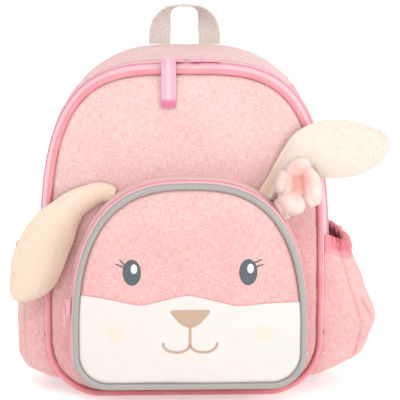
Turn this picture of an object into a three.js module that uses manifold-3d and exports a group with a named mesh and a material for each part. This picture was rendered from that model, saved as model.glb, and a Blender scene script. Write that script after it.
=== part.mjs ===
// Kindergarten backpack with an animal's face, two plush ears and a zipped front pocket.
// Millimetres, +Z up. The bag faces -Y and stands on the floor, with the origin under the middle of its base.

import * as THREE from 'three';
import { mergeVertices } from 'three/addons/utils/BufferGeometryUtils.js';
import Module from 'manifold-3d';

const wasm = await Module();
wasm.setup();

// Clearance and cloth
const gap = 0.3;
const clothWall = 2;
const tapeWall = 1.4;
const backWall = 4;

// Bag body
const bodyWidth = 238;
const bodyDepth = 108;
const frontHeight = 282.4;
const backHeight = 296;
const sideSwell = 7.5;
const bodyArchBase = 85;
const frontArchPower = 3.55;
const backArchPower = 3.1;
const bodyCornerRadius = 48;
const cornerGrowth = 13;
const frontShift = -4.2;
const frontCrown = 8;
const frontPipingRadius = 2.3;

// Main zip and the seams of the body's side
const mainTapeWidth = 24;
const mainTeethWidth = 4.5;
const teethHeight = 1.6;
const mainZipEnd = 2.1;
const goreLow = 3.49;
const goreHigh = 3.55;
const sliderLength = 9;
const sliderWidth = 8;
const sliderHeight = 3;
const leftSliderOffset = -9;
const rightSliderOffset = 6;
const pullTabLength = 16;
const pullTabWidth = 4;
const pullTabThickness = 1.4;

// Ribbon pull
const ribbonWidth = 12.4;
const ribbonThickness = 2.4;
const ribbonHang = 37;
const ribbonCentre = -17.4;

// Front pocket
const pocketWidth = 197;
const pocketDepth = 41;
const pocketTop = 191;
const pocketBottom = 15.5;
const pocketFlare = 4.5;
const pocketTopFlare = 2;
const pocketBottomFlare = 3.5;
const pocketArchBase = 56;
const pocketArchPower = 2.65;
const pocketCornerRadius = 30;
const pocketCrown = 6;
const pocketPipingRadius = 2.8;
const pocketTapeWidth = 15;
const pocketTeethWidth = 3;
const pocketZipRight = 2.2;
const pocketZipLeft = 6.3;
const pocketSliderHeight = 85;
const pocketSliderLength = 14;
const pocketPullLength = 17;

// Face
const filmThickness = 0.5;
const filmClearance = 0.35;
const eyeWidth = 15.2;
const eyeHeight = 22;
const eyeSpacing = 96.8;
const eyeLevel = 117;
const faceCentre = -0.7;
const glintWidth = 5.4;
const glintHeight = 8;
const glintAcross = 1.8;
const glintUp = 3.1;
const lashLength = 8.8;
const lashWidth = 1;
const noseWidth = 35;
const noseHeight = 15.3;
const noseTop = 85.4;
const noseCorner = 4.5;
const noseTaper = 7;
const mouthWidth = 45;
const mouthDrop = 14.2;
const mouthCurl = 7.2;
const mouthStroke = 2;
const cheekWidth = 16;
const cheekHeight = 14.4;
const cheekLevel = 65;
const cheekInset = 36.75;
const muzzleLevel = 90;
const muzzleWave = 8;

// Ears
const earBaseSpacing = 133.8;
const earCentre = 0.3;
const leftEarDrop = 9;
const rightEarDrop = 11.8;
const earLength = 128;
const earWidth = 44;
const earThickness = 11;
const earRim = 1.6;
const earCup = 3;
const petalSize = 16;
const flowerThickness = 17;
const flowerAcross = 10.4;
const flowerDown = 10.9;

// Handle
const handleWidth = 19;
const handleThickness = 2;
const handleSpan = 44.4;
const handleRise = 37;
const handleCentre = -1.2;
const handleSetback = 7;
const handleSquareness = 0.62;
const handleFullness = 0.8;

// Side pockets
const sidePocketHeight = 139;
const sidePocketReach = 43;
const flatPocketReach = 21;
const sidePocketSetback = 1.2;
const sidePocketInset = 3.7;
const cornerClearance = 2.6;
const frontRise = 8;
const frontRiseShare = 0.5;
const bottomShare = 0.2;
const sidePocketWall = 2;
const bandHeight = 17;
const bandLean = 0.135;
const bandGathers = 7;
const gatherDepth = 1.6;
const rimDrop = 11.2;
const sidePocketFullness = 0.6;

// Shoulder straps
const strapWidth = 46;
const strapThickness = 8;
const strapEdge = 0.6;
const strapSeat = 1.2;
const strapTop = 272;
const strapBottom = 28;
const strapReach = 30;
const strapInset = 36;
const strapSplay = 58;
const padShare = 0.62;
const webbingWidth = 22;
const webbingThickness = 1.8;
const adjusterHeight = 16;
const adjusterWall = 3;

// Planes that the pieces share
const yFront = -bodyDepth / 2;
const yBack = bodyDepth / 2 - backWall;
const yTapeRear = yFront + frontPipingRadius + gap + mainTapeWidth;
const yFace = yFront - pocketDepth;

function mix(a, b, share) {
  return a + (b - a) * share;
}

function spread(count, at) {
  return Array.from({ length: count }, (unused, index) => at(index));
}

function smoothRow(rows, share, name) {
  const values = rows.map((row) => row[name]);
  const spot = share * (rows.length - 1);
  const base = Math.min(Math.floor(spot), rows.length - 2);
  const t = spot - base;
  const before = values[Math.max(base - 1, 0)];
  const a = values[base];
  const b = values[base + 1];
  const after = values[Math.min(base + 2, rows.length - 1)];
  const bend = 2 * a + (b - before) * t + (2 * before - 5 * a + 4 * b - after) * t * t;
  return 0.5 * (bend + (3 * a - before - 3 * b + after) * t * t * t);
}

// Solids from lists of corners and triangles

function signedVolume(points, triangles) {
  let total = 0;
  for (const [a, b, c] of triangles) {
    total += points[a].dot(new THREE.Vector3().crossVectors(points[b], points[c]));
  }
  return total / 6;
}

function closedGeometry(points, triangles) {
  const inverted = signedVolume(points, triangles) < 0;
  const order = inverted ? triangles.map(([a, b, c]) => [a, c, b]) : triangles;
  const geometry = new THREE.BufferGeometry();
  geometry.setAttribute('position', new THREE.Float32BufferAttribute(points.flatMap((p) => p.toArray()), 3));
  geometry.setIndex(order.flat());
  return geometry;
}

// A sheet with thickness: outside and inside give a point for each column and row
function sheetSolid(columns, rows, outside, inside) {
  const points = [];
  const width = columns + 1;
  const sheetSize = width * (rows + 1);
  for (const surface of [outside, inside]) {
    for (let row = 0; row <= rows; row += 1) {
      for (let column = 0; column <= columns; column += 1) {
        points.push(surface(column / columns, row / rows));
      }
    }
  }
  const at = (column, row, side) => side * sheetSize + row * width + column;
  const triangles = [];
  const addQuad = (a, b, c, d) => triangles.push([a, b, c], [a, c, d]);
  for (let row = 0; row < rows; row += 1) {
    for (let column = 0; column < columns; column += 1) {
      addQuad(at(column, row, 0), at(column + 1, row, 0), at(column + 1, row + 1, 0), at(column, row + 1, 0));
      addQuad(at(column, row, 1), at(column, row + 1, 1), at(column + 1, row + 1, 1), at(column + 1, row, 1));
    }
    addQuad(at(0, row, 0), at(0, row + 1, 0), at(0, row + 1, 1), at(0, row, 1));
    addQuad(at(columns, row, 0), at(columns, row, 1), at(columns, row + 1, 1), at(columns, row + 1, 0));
  }
  for (let column = 0; column < columns; column += 1) {
    addQuad(at(column, 0, 0), at(column, 0, 1), at(column + 1, 0, 1), at(column + 1, 0, 0));
    addQuad(at(column, rows, 0), at(column + 1, rows, 0), at(column + 1, rows, 1), at(column, rows, 1));
  }
  return closedGeometry(points, triangles);
}

// A panel with a rim: rings of corners run from a middle point out to the rim
function discSolid(columns, rings, front, back) {
  const points = [front(0, 0), back(0, 0)];
  const ringStart = (ring, side) => 2 + ((ring - 1) * 2 + side) * columns;
  for (let ring = 1; ring <= rings; ring += 1) {
    for (const surface of [front, back]) {
      for (let column = 0; column < columns; column += 1) {
        points.push(surface(column / columns, ring / rings));
      }
    }
  }
  const triangles = [];
  for (let column = 0; column < columns; column += 1) {
    const next = (column + 1) % columns;
    triangles.push([0, ringStart(1, 0) + column, ringStart(1, 0) + next]);
    triangles.push([1, ringStart(1, 1) + next, ringStart(1, 1) + column]);
    for (let ring = 1; ring < rings; ring += 1) {
      for (const side of [0, 1]) {
        const a = ringStart(ring, side) + column;
        const b = ringStart(ring + 1, side) + column;
        const c = ringStart(ring + 1, side) + next;
        const d = ringStart(ring, side) + next;
        const faces = side === 0 ? [[a, b, c], [a, c, d]] : [[a, c, b], [a, d, c]];
        triangles.push(...faces);
      }
    }
    const rimFront = ringStart(rings, 0);
    const rimBack = ringStart(rings, 1);
    triangles.push([rimFront + column, rimBack + column, rimBack + next]);
    triangles.push([rimFront + column, rimBack + next, rimFront + next]);
  }
  return closedGeometry(points, triangles);
}

// A closed ring of round section
function ringSolid(columns, sides, radius, centreAt) {
  const centres = spread(columns, (index) => centreAt(index / columns));
  const points = [];
  centres.forEach((centre, index) => {
    const ahead = centres[(index + 1) % columns];
    const behind = centres[(index + columns - 1) % columns];
    const along = ahead.clone().sub(behind).normalize();
    const forward = new THREE.Vector3(0, 1, 0);
    const outward = new THREE.Vector3().crossVectors(along, forward).normalize();
    const upright = new THREE.Vector3().crossVectors(outward, along);
    for (let side = 0; side < sides; side += 1) {
      const angle = (side / sides) * Math.PI * 2;
      const point = centre.clone().addScaledVector(outward, Math.cos(angle) * radius);
      points.push(point.addScaledVector(upright, Math.sin(angle) * radius));
    }
  });
  const triangles = [];
  for (let column = 0; column < columns; column += 1) {
    for (let side = 0; side < sides; side += 1) {
      const nextColumn = ((column + 1) % columns) * sides;
      const nextSide = (side + 1) % sides;
      const a = column * sides + side;
      const b = nextColumn + side;
      const c = nextColumn + nextSide;
      const d = column * sides + nextSide;
      triangles.push([a, b, c], [a, c, d]);
    }
  }
  return closedGeometry(points, triangles);
}

// A flat strap along stations, each with a point and the direction across the strap
function strapSolid(stations, width, thickness) {
  const last = stations.length - 1;
  const surfaces = stations.map((station, index) => {
    const ahead = stations[Math.min(index + 1, last)].point;
    const behind = stations[Math.max(index - 1, 0)].point;
    const along = ahead.clone().sub(behind).normalize();
    const across = station.across.clone().addScaledVector(along, -station.across.dot(along)).normalize();
    const face = new THREE.Vector3().crossVectors(along, across);
    return { ...station, across, face };
  });
  const surfaceAt = (side) => (column, row) => {
    const station = surfaces[Math.round(row * last)];
    const crown = station.crown ?? 1;
    const rise = (thickness / 2) * (crown + (1 - crown) * (1 - (2 * column - 1) ** 2));
    const point = station.point.clone().addScaledVector(station.across, (column - 0.5) * width);
    return point.addScaledVector(station.face, side * rise);
  };
  const columns = stations[0].crown === undefined ? 1 : 4;
  return sheetSolid(columns, last, surfaceAt(1), surfaceAt(-1));
}

function toManifold(geometry) {
  const bare = geometry.clone();
  bare.deleteAttribute('normal');
  bare.deleteAttribute('uv');
  const merged = mergeVertices(bare, 1e-4);
  const vertProperties = new Float32Array(merged.attributes.position.array);
  const triVerts = new Uint32Array(merged.index.array);
  return new wasm.Manifold(new wasm.Mesh({ numProp: 3, vertProperties, triVerts }));
}

function fromManifold(solid) {
  const mesh = solid.getMesh();
  const geometry = new THREE.BufferGeometry();
  geometry.setAttribute('position', new THREE.BufferAttribute(new Float32Array(mesh.vertProperties), 3));
  geometry.setIndex(new THREE.BufferAttribute(new Uint32Array(mesh.triVerts), 1));
  return geometry;
}

function joined(geometries) {
  return fromManifold(geometries.map(toManifold).reduce((sum, solid) => sum.add(solid)));
}

// The outline of the bag or its pocket seen from the front. Places run round it: 0 is the middle of the
// bottom, 1 to 2 the right corner, 2 to 3 the right side, 4 the top, and on down the left to 8.
const topPlace = 4;
const fullTurn = 8;
const tubeSides = 6;

// Steps taken along each place, so that the arch gets most of the corners
const placeSteps = [1, 5, 1, 13];
const halfWalk = placeSteps.reduce((sum, steps) => sum + steps, 0);
const ringColumns = 2 * halfWalk;

function placeAt(anyWalk) {
  const walk = ((anyWalk % ringColumns) + ringColumns) % ringColumns;
  const mirrored = walk > halfWalk;
  let left = mirrored ? ringColumns - walk : walk;
  let place = 0;
  for (const steps of placeSteps) {
    place += Math.min(left / steps, 1);
    left = Math.max(left - steps, 0);
  }
  return mirrored ? fullTurn - place : place;
}

function walkAt(anyPlace) {
  const turns = Math.floor(anyPlace / fullTurn);
  const place = anyPlace - turns * fullTurn;
  const mirrored = place > topPlace;
  const spot = mirrored ? fullTurn - place : place;
  const taken = placeSteps.map((steps, index) => steps * THREE.MathUtils.clamp(spot - index, 0, 1));
  const walk = taken.reduce((sum, steps) => sum + steps, 0);
  return turns * ringColumns + (mirrored ? ringColumns - walk : walk);
}

function outline(shape, anyPlace) {
  const place = ((anyPlace % fullTurn) + fullTurn) % fullTurn;
  const mirrored = place > topPlace;
  const spot = mirrored ? fullTurn - place : place;
  const flat = shape.halfWidth - shape.radius;
  let x;
  let z;
  if (spot < 1) {
    x = flat * spot;
    z = shape.bottom;
  } else if (spot < 2) {
    const angle = ((spot - 1) * Math.PI) / 2;
    x = flat + shape.radius * Math.sin(angle);
    z = shape.bottom + shape.radius * (1 - Math.cos(angle));
  } else if (spot < 3) {
    x = shape.halfWidth;
    z = mix(shape.bottom + shape.radius, shape.archBase, spot - 2);
  } else {
    const angle = ((spot - 3) * Math.PI) / 2;
    const cosine = Math.max(Math.cos(angle), 0);
    const sine = Math.sin(angle);
    const reach = (cosine ** shape.power + sine ** shape.power) ** (-1 / shape.power);
    x = shape.halfWidth * reach * cosine;
    z = shape.archBase + (shape.top - shape.archBase) * reach * sine;
  }
  return { x: shape.centre + (mirrored ? -x : x), z };
}

function inset(shape, place, distance) {
  const nudge = 0.01;
  const here = outline(shape, place);
  const ahead = outline(shape, place + nudge);
  const behind = outline(shape, place - nudge);
  const dx = ahead.x - behind.x;
  const dz = ahead.z - behind.z;
  const length = Math.hypot(dx, dz);
  return { x: here.x - (dz / length) * distance, z: here.z + (dx / length) * distance };
}

function placeStep(shape, place, distance) {
  const nudge = 0.01;
  const ahead = outline(shape, place + nudge);
  const behind = outline(shape, place - nudge);
  return (distance * 2 * nudge) / Math.hypot(ahead.x - behind.x, ahead.z - behind.z);
}

// The place on the right half of the arch at a height
function archPlace(shape, z) {
  const up = THREE.MathUtils.clamp((z - shape.archBase) / (shape.top - shape.archBase), 0, 1);
  const across = (1 - up ** shape.power) ** (1 / shape.power);
  return topPlace - 1 + Math.atan2(up, across) / (Math.PI / 2);
}

function bodyShape(y) {
  const share = THREE.MathUtils.clamp((y - yFront) / bodyDepth, 0, 1);
  const swell = 1 - Math.abs(2 * share - 1) ** 3;
  const rise = 1 - (1 - share) ** 2;
  return {
    halfWidth: bodyWidth / 2 + sideSwell * swell,
    top: mix(frontHeight, backHeight, rise),
    bottom: 0,
    archBase: bodyArchBase,
    power: mix(frontArchPower, backArchPower, rise),
    radius: bodyCornerRadius + cornerGrowth * swell,
    centre: frontShift * (1 - share),
  };
}

function pocketShape(y) {
  const share = THREE.MathUtils.clamp((y - yFace) / pocketDepth, 0, 1);
  return {
    halfWidth: pocketWidth / 2 + pocketFlare * share,
    top: pocketTop + pocketTopFlare * share,
    bottom: pocketBottom - pocketBottomFlare * share,
    archBase: pocketArchBase,
    power: pocketArchPower,
    radius: pocketCornerRadius,
    centre: faceCentre,
  };
}

const frontShape = bodyShape(yFront);
const faceShape = pocketShape(yFace);

function crownAt(shape, x, z) {
  const power = 2.4;
  const middle = (shape.top + shape.bottom) / 2;
  const across = Math.abs(x - shape.centre) / shape.halfWidth;
  const up = Math.abs(z - middle) / ((shape.top - shape.bottom) / 2);
  return Math.max(0, 1 - across ** power) * Math.max(0, 1 - up ** power);
}

function frontY(x, z) {
  return yFront - frontCrown * crownAt(frontShape, x, z);
}

function faceY(x, z) {
  return yFace - pocketCrown * crownAt(faceShape, x, z);
}

// Part of the wall round a bag or pocket, between two places and two depths
function wallBand(shapeAt, band) {
  const surface = (distance) => (column, row) => {
    const place = placeAt(mix(walkAt(band.from), walkAt(band.to), column));
    const near = typeof band.near === 'function' ? band.near(place) : band.near;
    const far = typeof band.far === 'function' ? band.far(place) : band.far;
    const y = mix(near, far, row);
    const point = inset(shapeAt(y), place, distance);
    return new THREE.Vector3(point.x, y, point.z);
  };
  const outer = band.outer ?? 0;
  return sheetSolid(band.columns, band.rows, surface(outer), surface(outer + band.thickness));
}

function panelSolid(shape, rimInset, surfaceY, thickness, columns, rings) {
  const middle = { x: shape.centre, z: (shape.top + shape.bottom) / 2 };
  const surface = (offset) => (column, ring) => {
    const rim = inset(shape, placeAt(column * ringColumns), rimInset);
    const x = mix(middle.x, rim.x, ring);
    const z = mix(middle.z, rim.z, ring);
    return new THREE.Vector3(x, surfaceY(x, z) + offset, z);
  };
  return discSolid(columns, rings, surface(0), surface(thickness));
}

const finishes = {
  melange: new THREE.MeshStandardMaterial({ color: 0xf4b8b8, roughness: 0.9, metalness: 0 }),
  coral: new THREE.MeshStandardMaterial({ color: 0xf58c9c, roughness: 0.6, metalness: 0 }),
  zipTape: new THREE.MeshStandardMaterial({ color: 0xf7a9c4, roughness: 0.7, metalness: 0 }),
  zipPlastic: new THREE.MeshStandardMaterial({ color: 0xf294b4, roughness: 0.45, metalness: 0 }),
  ribbon: new THREE.MeshStandardMaterial({ color: 0xf8b4d4, roughness: 0.6, metalness: 0 }),
  reflective: new THREE.MeshStandardMaterial({ color: 0xb2afaa, roughness: 0.5, metalness: 0 }),
  cream: new THREE.MeshStandardMaterial({ color: 0xf7f0ea, roughness: 0.8, metalness: 0 }),
  eye: new THREE.MeshStandardMaterial({ color: 0x6a7880, roughness: 0.6, metalness: 0 }),
  glint: new THREE.MeshStandardMaterial({ color: 0xffffff, roughness: 0.5, metalness: 0 }),
  tan: new THREE.MeshStandardMaterial({ color: 0xd2b298, roughness: 0.7, metalness: 0 }),
  cheek: new THREE.MeshStandardMaterial({ color: 0xffeedc, roughness: 0.8, metalness: 0 }),
  plush: new THREE.MeshStandardMaterial({ color: 0xfde1c8, roughness: 1, metalness: 0 }),
  lining: new THREE.MeshStandardMaterial({ color: 0xfff3e2, roughness: 1, metalness: 0 }),
  petal: new THREE.MeshStandardMaterial({ color: 0xfbd0c8, roughness: 1, metalness: 0 }),
  webbing: new THREE.MeshStandardMaterial({ color: 0xf0e6de, roughness: 0.8, metalness: 0 }),
  buckle: new THREE.MeshStandardMaterial({ color: 0xf0e0da, roughness: 0.5, metalness: 0 }),
};

const backpack = new THREE.Group();
backpack.name = 'backpack';

function addPiece(name, geometry, finish) {
  const piece = new THREE.Mesh(geometry, finishes[finish]);
  piece.name = name;
  backpack.add(piece);
}

// Walls of the main compartment

function addBody() {
  const rimInset = 2 * frontPipingRadius + gap;
  addPiece('front_panel', panelSolid(frontShape, rimInset, frontY, clothWall, ringColumns, 4), 'melange');
  const pipingAt = (share) => {
    const point = inset(frontShape, placeAt(share * ringColumns), frontPipingRadius);
    return new THREE.Vector3(point.x, yFront, point.z);
  };
  addPiece('front_piping', ringSolid(ringColumns, tubeSides, frontPipingRadius, pipingAt), 'coral');

  const near = yFront + frontPipingRadius + gap;
  const mouth = bodyShape(near);
  const seam = (place) => placeStep(mouth, place, gap);
  const topEnd = fullTurn - mainZipEnd;
  const tape = {
    from: mainZipEnd,
    to: topEnd,
    near,
    far: yTapeRear,
    thickness: tapeWall,
    columns: 30,
    rows: 1,
  };
  addPiece('main_zip_tape', wallBand(bodyShape, tape), 'zipTape');
  const teethMiddle = (near + yTapeRear) / 2;
  const teeth = {
    ...tape,
    near: teethMiddle - mainTeethWidth / 2,
    far: teethMiddle + mainTeethWidth / 2,
    outer: -(gap + teethHeight),
    thickness: teethHeight,
  };
  addPiece('main_zip_teeth', wallBand(bodyShape, teeth), 'zipPlastic');

  const rear = { near: yTapeRear + gap, far: yBack - gap, thickness: clothWall, rows: 3 };
  const goreFar = fullTurn - goreHigh;
  const topFrom = goreHigh + seam(goreHigh);
  const topGusset = { ...rear, from: topFrom, to: fullTurn - topFrom, columns: 16 };
  addPiece('top_gusset', wallBand(bodyShape, topGusset), 'melange');
  const sides = [
    { name: 'right', place: (spot) => spot },
    { name: 'left', place: (spot) => fullTurn - spot },
  ];
  for (const side of sides) {
    const gore = { ...rear, from: side.place(goreLow), to: side.place(goreHigh), columns: 2 };
    addPiece(`corner_gore_${side.name}`, wallBand(bodyShape, gore), 'coral');
    const low = side.place(mainZipEnd);
    const high = side.place(goreLow - seam(goreLow));
    const gusset = { ...rear, from: low, to: high, columns: 9 };
    addPiece(`side_gusset_${side.name}`, wallBand(bodyShape, gusset), 'melange');
  }
  const baseEnd = mainZipEnd - seam(mainZipEnd);
  const base = { ...rear, from: -baseEnd, to: baseEnd, near, columns: 12, rows: 4 };
  addPiece('base_panel', wallBand(bodyShape, base), 'melange');

  const backShape = bodyShape(bodyDepth / 2);
  addPiece('back_panel', panelSolid(backShape, 0, () => yBack, backWall, ringColumns, 2), 'melange');
}

// Sliders and the ribbon on the main zip

function zipFitting(shapeAt, place, middleY, length, width, lift, height) {
  const half = placeStep(shapeAt(middleY), place, length / 2);
  return wallBand(shapeAt, {
    from: place - half,
    to: place + half,
    near: middleY - width / 2,
    far: middleY + width / 2,
    outer: -(lift + height),
    thickness: height,
    columns: 2,
    rows: 1,
  });
}

const mainTeethY = yFront + frontPipingRadius + gap + mainTapeWidth / 2;
const sliderLift = 2 * gap + teethHeight;

function topPlaceAt(x) {
  const shape = bodyShape(mainTeethY);
  return topPlace - placeStep(shape, topPlace, x - shape.centre);
}

function addMainZipFittings() {
  const fittings = [
    { name: 'main_slider_left', offset: leftSliderOffset },
    { name: 'main_slider_right', offset: rightSliderOffset },
  ];
  for (const { name, offset } of fittings) {
    const place = topPlaceAt(offset);
    const slider = zipFitting(
      bodyShape, place, mainTeethY, sliderLength, sliderWidth, sliderLift, sliderHeight);
    addPiece(name, slider, 'zipPlastic');
  }
  const tabPlace = topPlaceAt(rightSliderOffset + (sliderLength + pullTabLength) / 2 + gap);
  const tab = zipFitting(
    bodyShape, tabPlace, mainTeethY, pullTabLength, pullTabWidth, sliderLift, pullTabThickness);
  addPiece('main_pull_tab', tab, 'zipPlastic');
}

// The ribbon starts behind the piping, bends over it and hangs down the front panel
function addRibbon() {
  const across = new THREE.Vector3(1, 0, 0);
  const half = ribbonThickness / 2;
  const crest = bodyShape(mainTeethY).top + sliderLift + half;
  const bendRadius = frontPipingRadius + gap + half;
  const ridge = frontHeight - frontPipingRadius;
  const slopeShare = 0.6;
  const slopeHeight = mix(crest, ridge + bendRadius, 1 - slopeShare) + half;
  const points = [
    [mainTeethY - sliderWidth / 2 - gap, crest],
    [mix(mainTeethY, yFront, slopeShare), slopeHeight],
  ];
  const bendSteps = 6;
  const bendFrom = 70;
  const bendTo = 180;
  for (let step = 1; step <= bendSteps; step += 1) {
    const angle = THREE.MathUtils.degToRad(mix(bendFrom, bendTo, step / bendSteps));
    const reach = bendRadius + half;
    points.push([yFront + Math.cos(angle) * reach, ridge + Math.sin(angle) * reach]);
  }
  const hangSteps = 6;
  for (let step = 1; step <= hangSteps; step += 1) {
    const z = ridge - (ribbonHang - bendRadius) * (step / hangSteps);
    const surface = frontY(ribbonCentre, z) - gap - half;
    points.push([Math.min(surface, mix(yFront - bendRadius - half, surface, step / hangSteps)), z]);
  }
  const stations = points.map(([y, z]) => ({ point: new THREE.Vector3(ribbonCentre, y, z), across }));
  addPiece('ribbon_pull', strapSolid(stations, ribbonWidth, ribbonThickness), 'ribbon');
}

// Front pocket

function addPocket() {
  const rimInset = 2 * pocketPipingRadius + gap;
  const pipingAt = (place) => {
    const point = inset(faceShape, place, pocketPipingRadius);
    return new THREE.Vector3(point.x, faceY(point.x, point.z) + clothWall / 2, point.z);
  };
  const ringAt = (share) => pipingAt(placeAt(share * ringColumns));
  addPiece('reflective_piping', ringSolid(ringColumns, tubeSides, pocketPipingRadius, ringAt), 'reflective');

  const nearAt = (place) => pipingAt(place).y + pocketPipingRadius + gap;
  const farAt = (place) => {
    const seat = outline(pocketShape(yFront), place);
    return frontY(seat.x, seat.z) - gap;
  };
  const tapeFar = (place) => nearAt(place) + pocketTapeWidth;
  const seam = placeStep(faceShape, pocketZipRight, gap);
  const zip = { from: pocketZipRight, to: pocketZipLeft, thickness: tapeWall, columns: 26, rows: 1 };
  addPiece('pocket_zip_tape', wallBand(pocketShape, { ...zip, near: nearAt, far: tapeFar }), 'zipTape');
  const teethAt = (shift) => (place) => nearAt(place) + pocketTapeWidth / 2 + shift * pocketTeethWidth;
  const teeth = {
    ...zip,
    near: teethAt(-0.5),
    far: teethAt(0.5),
    outer: -(gap + teethHeight),
    thickness: teethHeight,
  };
  addPiece('pocket_zip_teeth', wallBand(pocketShape, teeth), 'zipPlastic');
  const gusset = { ...zip, near: (place) => tapeFar(place) + gap, far: farAt, thickness: clothWall, rows: 2 };
  addPiece('pocket_gusset', wallBand(pocketShape, gusset), 'melange');
  const base = {
    from: pocketZipLeft - fullTurn + seam,
    to: pocketZipRight - seam,
    near: nearAt,
    far: farAt,
    thickness: clothWall,
    columns: 12,
    rows: 2,
  };
  addPiece('pocket_base', wallBand(pocketShape, base), 'melange');

  const face = toManifold(panelSolid(faceShape, rimInset, faceY, clothWall, ringColumns, 4));
  const below = (shift) => toManifold(muzzleCutter(shift));
  addPiece('face_panel', fromManifold(face.subtract(below(gap / 2))), 'melange');
  addPiece('muzzle_panel', fromManifold(face.intersect(below(-gap / 2))), 'cream');

  const sliderPlace = fullTurn - archPlace(faceShape, pocketSliderHeight);
  const middleY = nearAt(sliderPlace) + pocketTapeWidth / 2;
  const slider = zipFitting(
    pocketShape, sliderPlace, middleY, pocketSliderLength, sliderWidth, sliderLift, sliderHeight);
  addPiece('pocket_slider', slider, 'zipPlastic');
  const pull = zipFitting(
    pocketShape, sliderPlace + placeStep(faceShape, sliderPlace, pocketPullLength / 2), middleY,
    pocketPullLength, pullTabWidth, sliderLift + sliderHeight + gap, pullTabThickness);
  addPiece('pocket_pull', pull, 'zipPlastic');
}

// The upper edge of the muzzle: heights above its level as shares of the wave, places as shares of the face
const muzzleEdge = [
  { across: -1.2, rise: 1 },
  { across: -0.94, rise: 0.95 },
  { across: -0.7, rise: 0.55 },
  { across: -0.43, rise: -0.05 },
  { across: -0.22, rise: 0.45 },
  { across: -0.02, rise: 0.92 },
  { across: 0.19, rise: 0.4 },
  { across: 0.4, rise: -0.18 },
  { across: 0.65, rise: 0 },
  { across: 0.94, rise: 0.08 },
  { across: 1.2, rise: 0.1 },
];

function muzzleCutter(shift) {
  const half = pocketWidth / 2;
  const knots = muzzleEdge.map((row) => new THREE.Vector2(
    faceCentre + row.across * half, muzzleLevel + row.rise * muzzleWave + shift));
  const edge = new THREE.SplineCurve(knots).getPoints(22);
  const floor = -pocketBottom;
  const shape = new THREE.Shape([
    new THREE.Vector2(edge[0].x, floor), new THREE.Vector2(edge[edge.length - 1].x, floor), ...edge.reverse(),
  ]);
  const depth = pocketDepth;
  const geometry = new THREE.ExtrudeGeometry(shape, { depth, bevelEnabled: false });
  geometry.rotateX(Math.PI / 2);
  geometry.translate(0, yFace + depth / 2, 0);
  return geometry;
}

// Prints on the face: thin films that follow its crown

function filmSolid(shape, lift) {
  const options = { depth: filmThickness, bevelEnabled: false, curveSegments: 10 };
  const flat = new THREE.ExtrudeGeometry(shape, options);
  flat.deleteAttribute('normal');
  flat.deleteAttribute('uv');
  const film = mergeVertices(flat, 1e-4);
  const position = film.attributes.position;
  for (let index = 0; index < position.count; index += 1) {
    const x = position.getX(index);
    const z = position.getY(index);
    const height = position.getZ(index);
    position.setXYZ(index, x, faceY(x, z) - lift - height, z);
  }
  return film;
}

function strokeShape(points, width) {
  const last = points.length - 1;
  const sideOf = (index, side) => {
    const along = points[Math.min(index + 1, last)].clone().sub(points[Math.max(index - 1, 0)]).normalize();
    return new THREE.Vector2(
      points[index].x - along.y * side * (width / 2), points[index].y + along.x * side * (width / 2));
  };
  const left = points.map((unused, index) => sideOf(index, 1));
  const right = points.map((unused, index) => sideOf(index, -1)).reverse();
  return new THREE.Shape([...left, ...right]);
}

function ellipseShape(x, z, width, height) {
  const shape = new THREE.Shape();
  shape.absellipse(x, z, width / 2, height / 2, 0, Math.PI * 2, false, 0);
  return shape;
}

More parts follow.
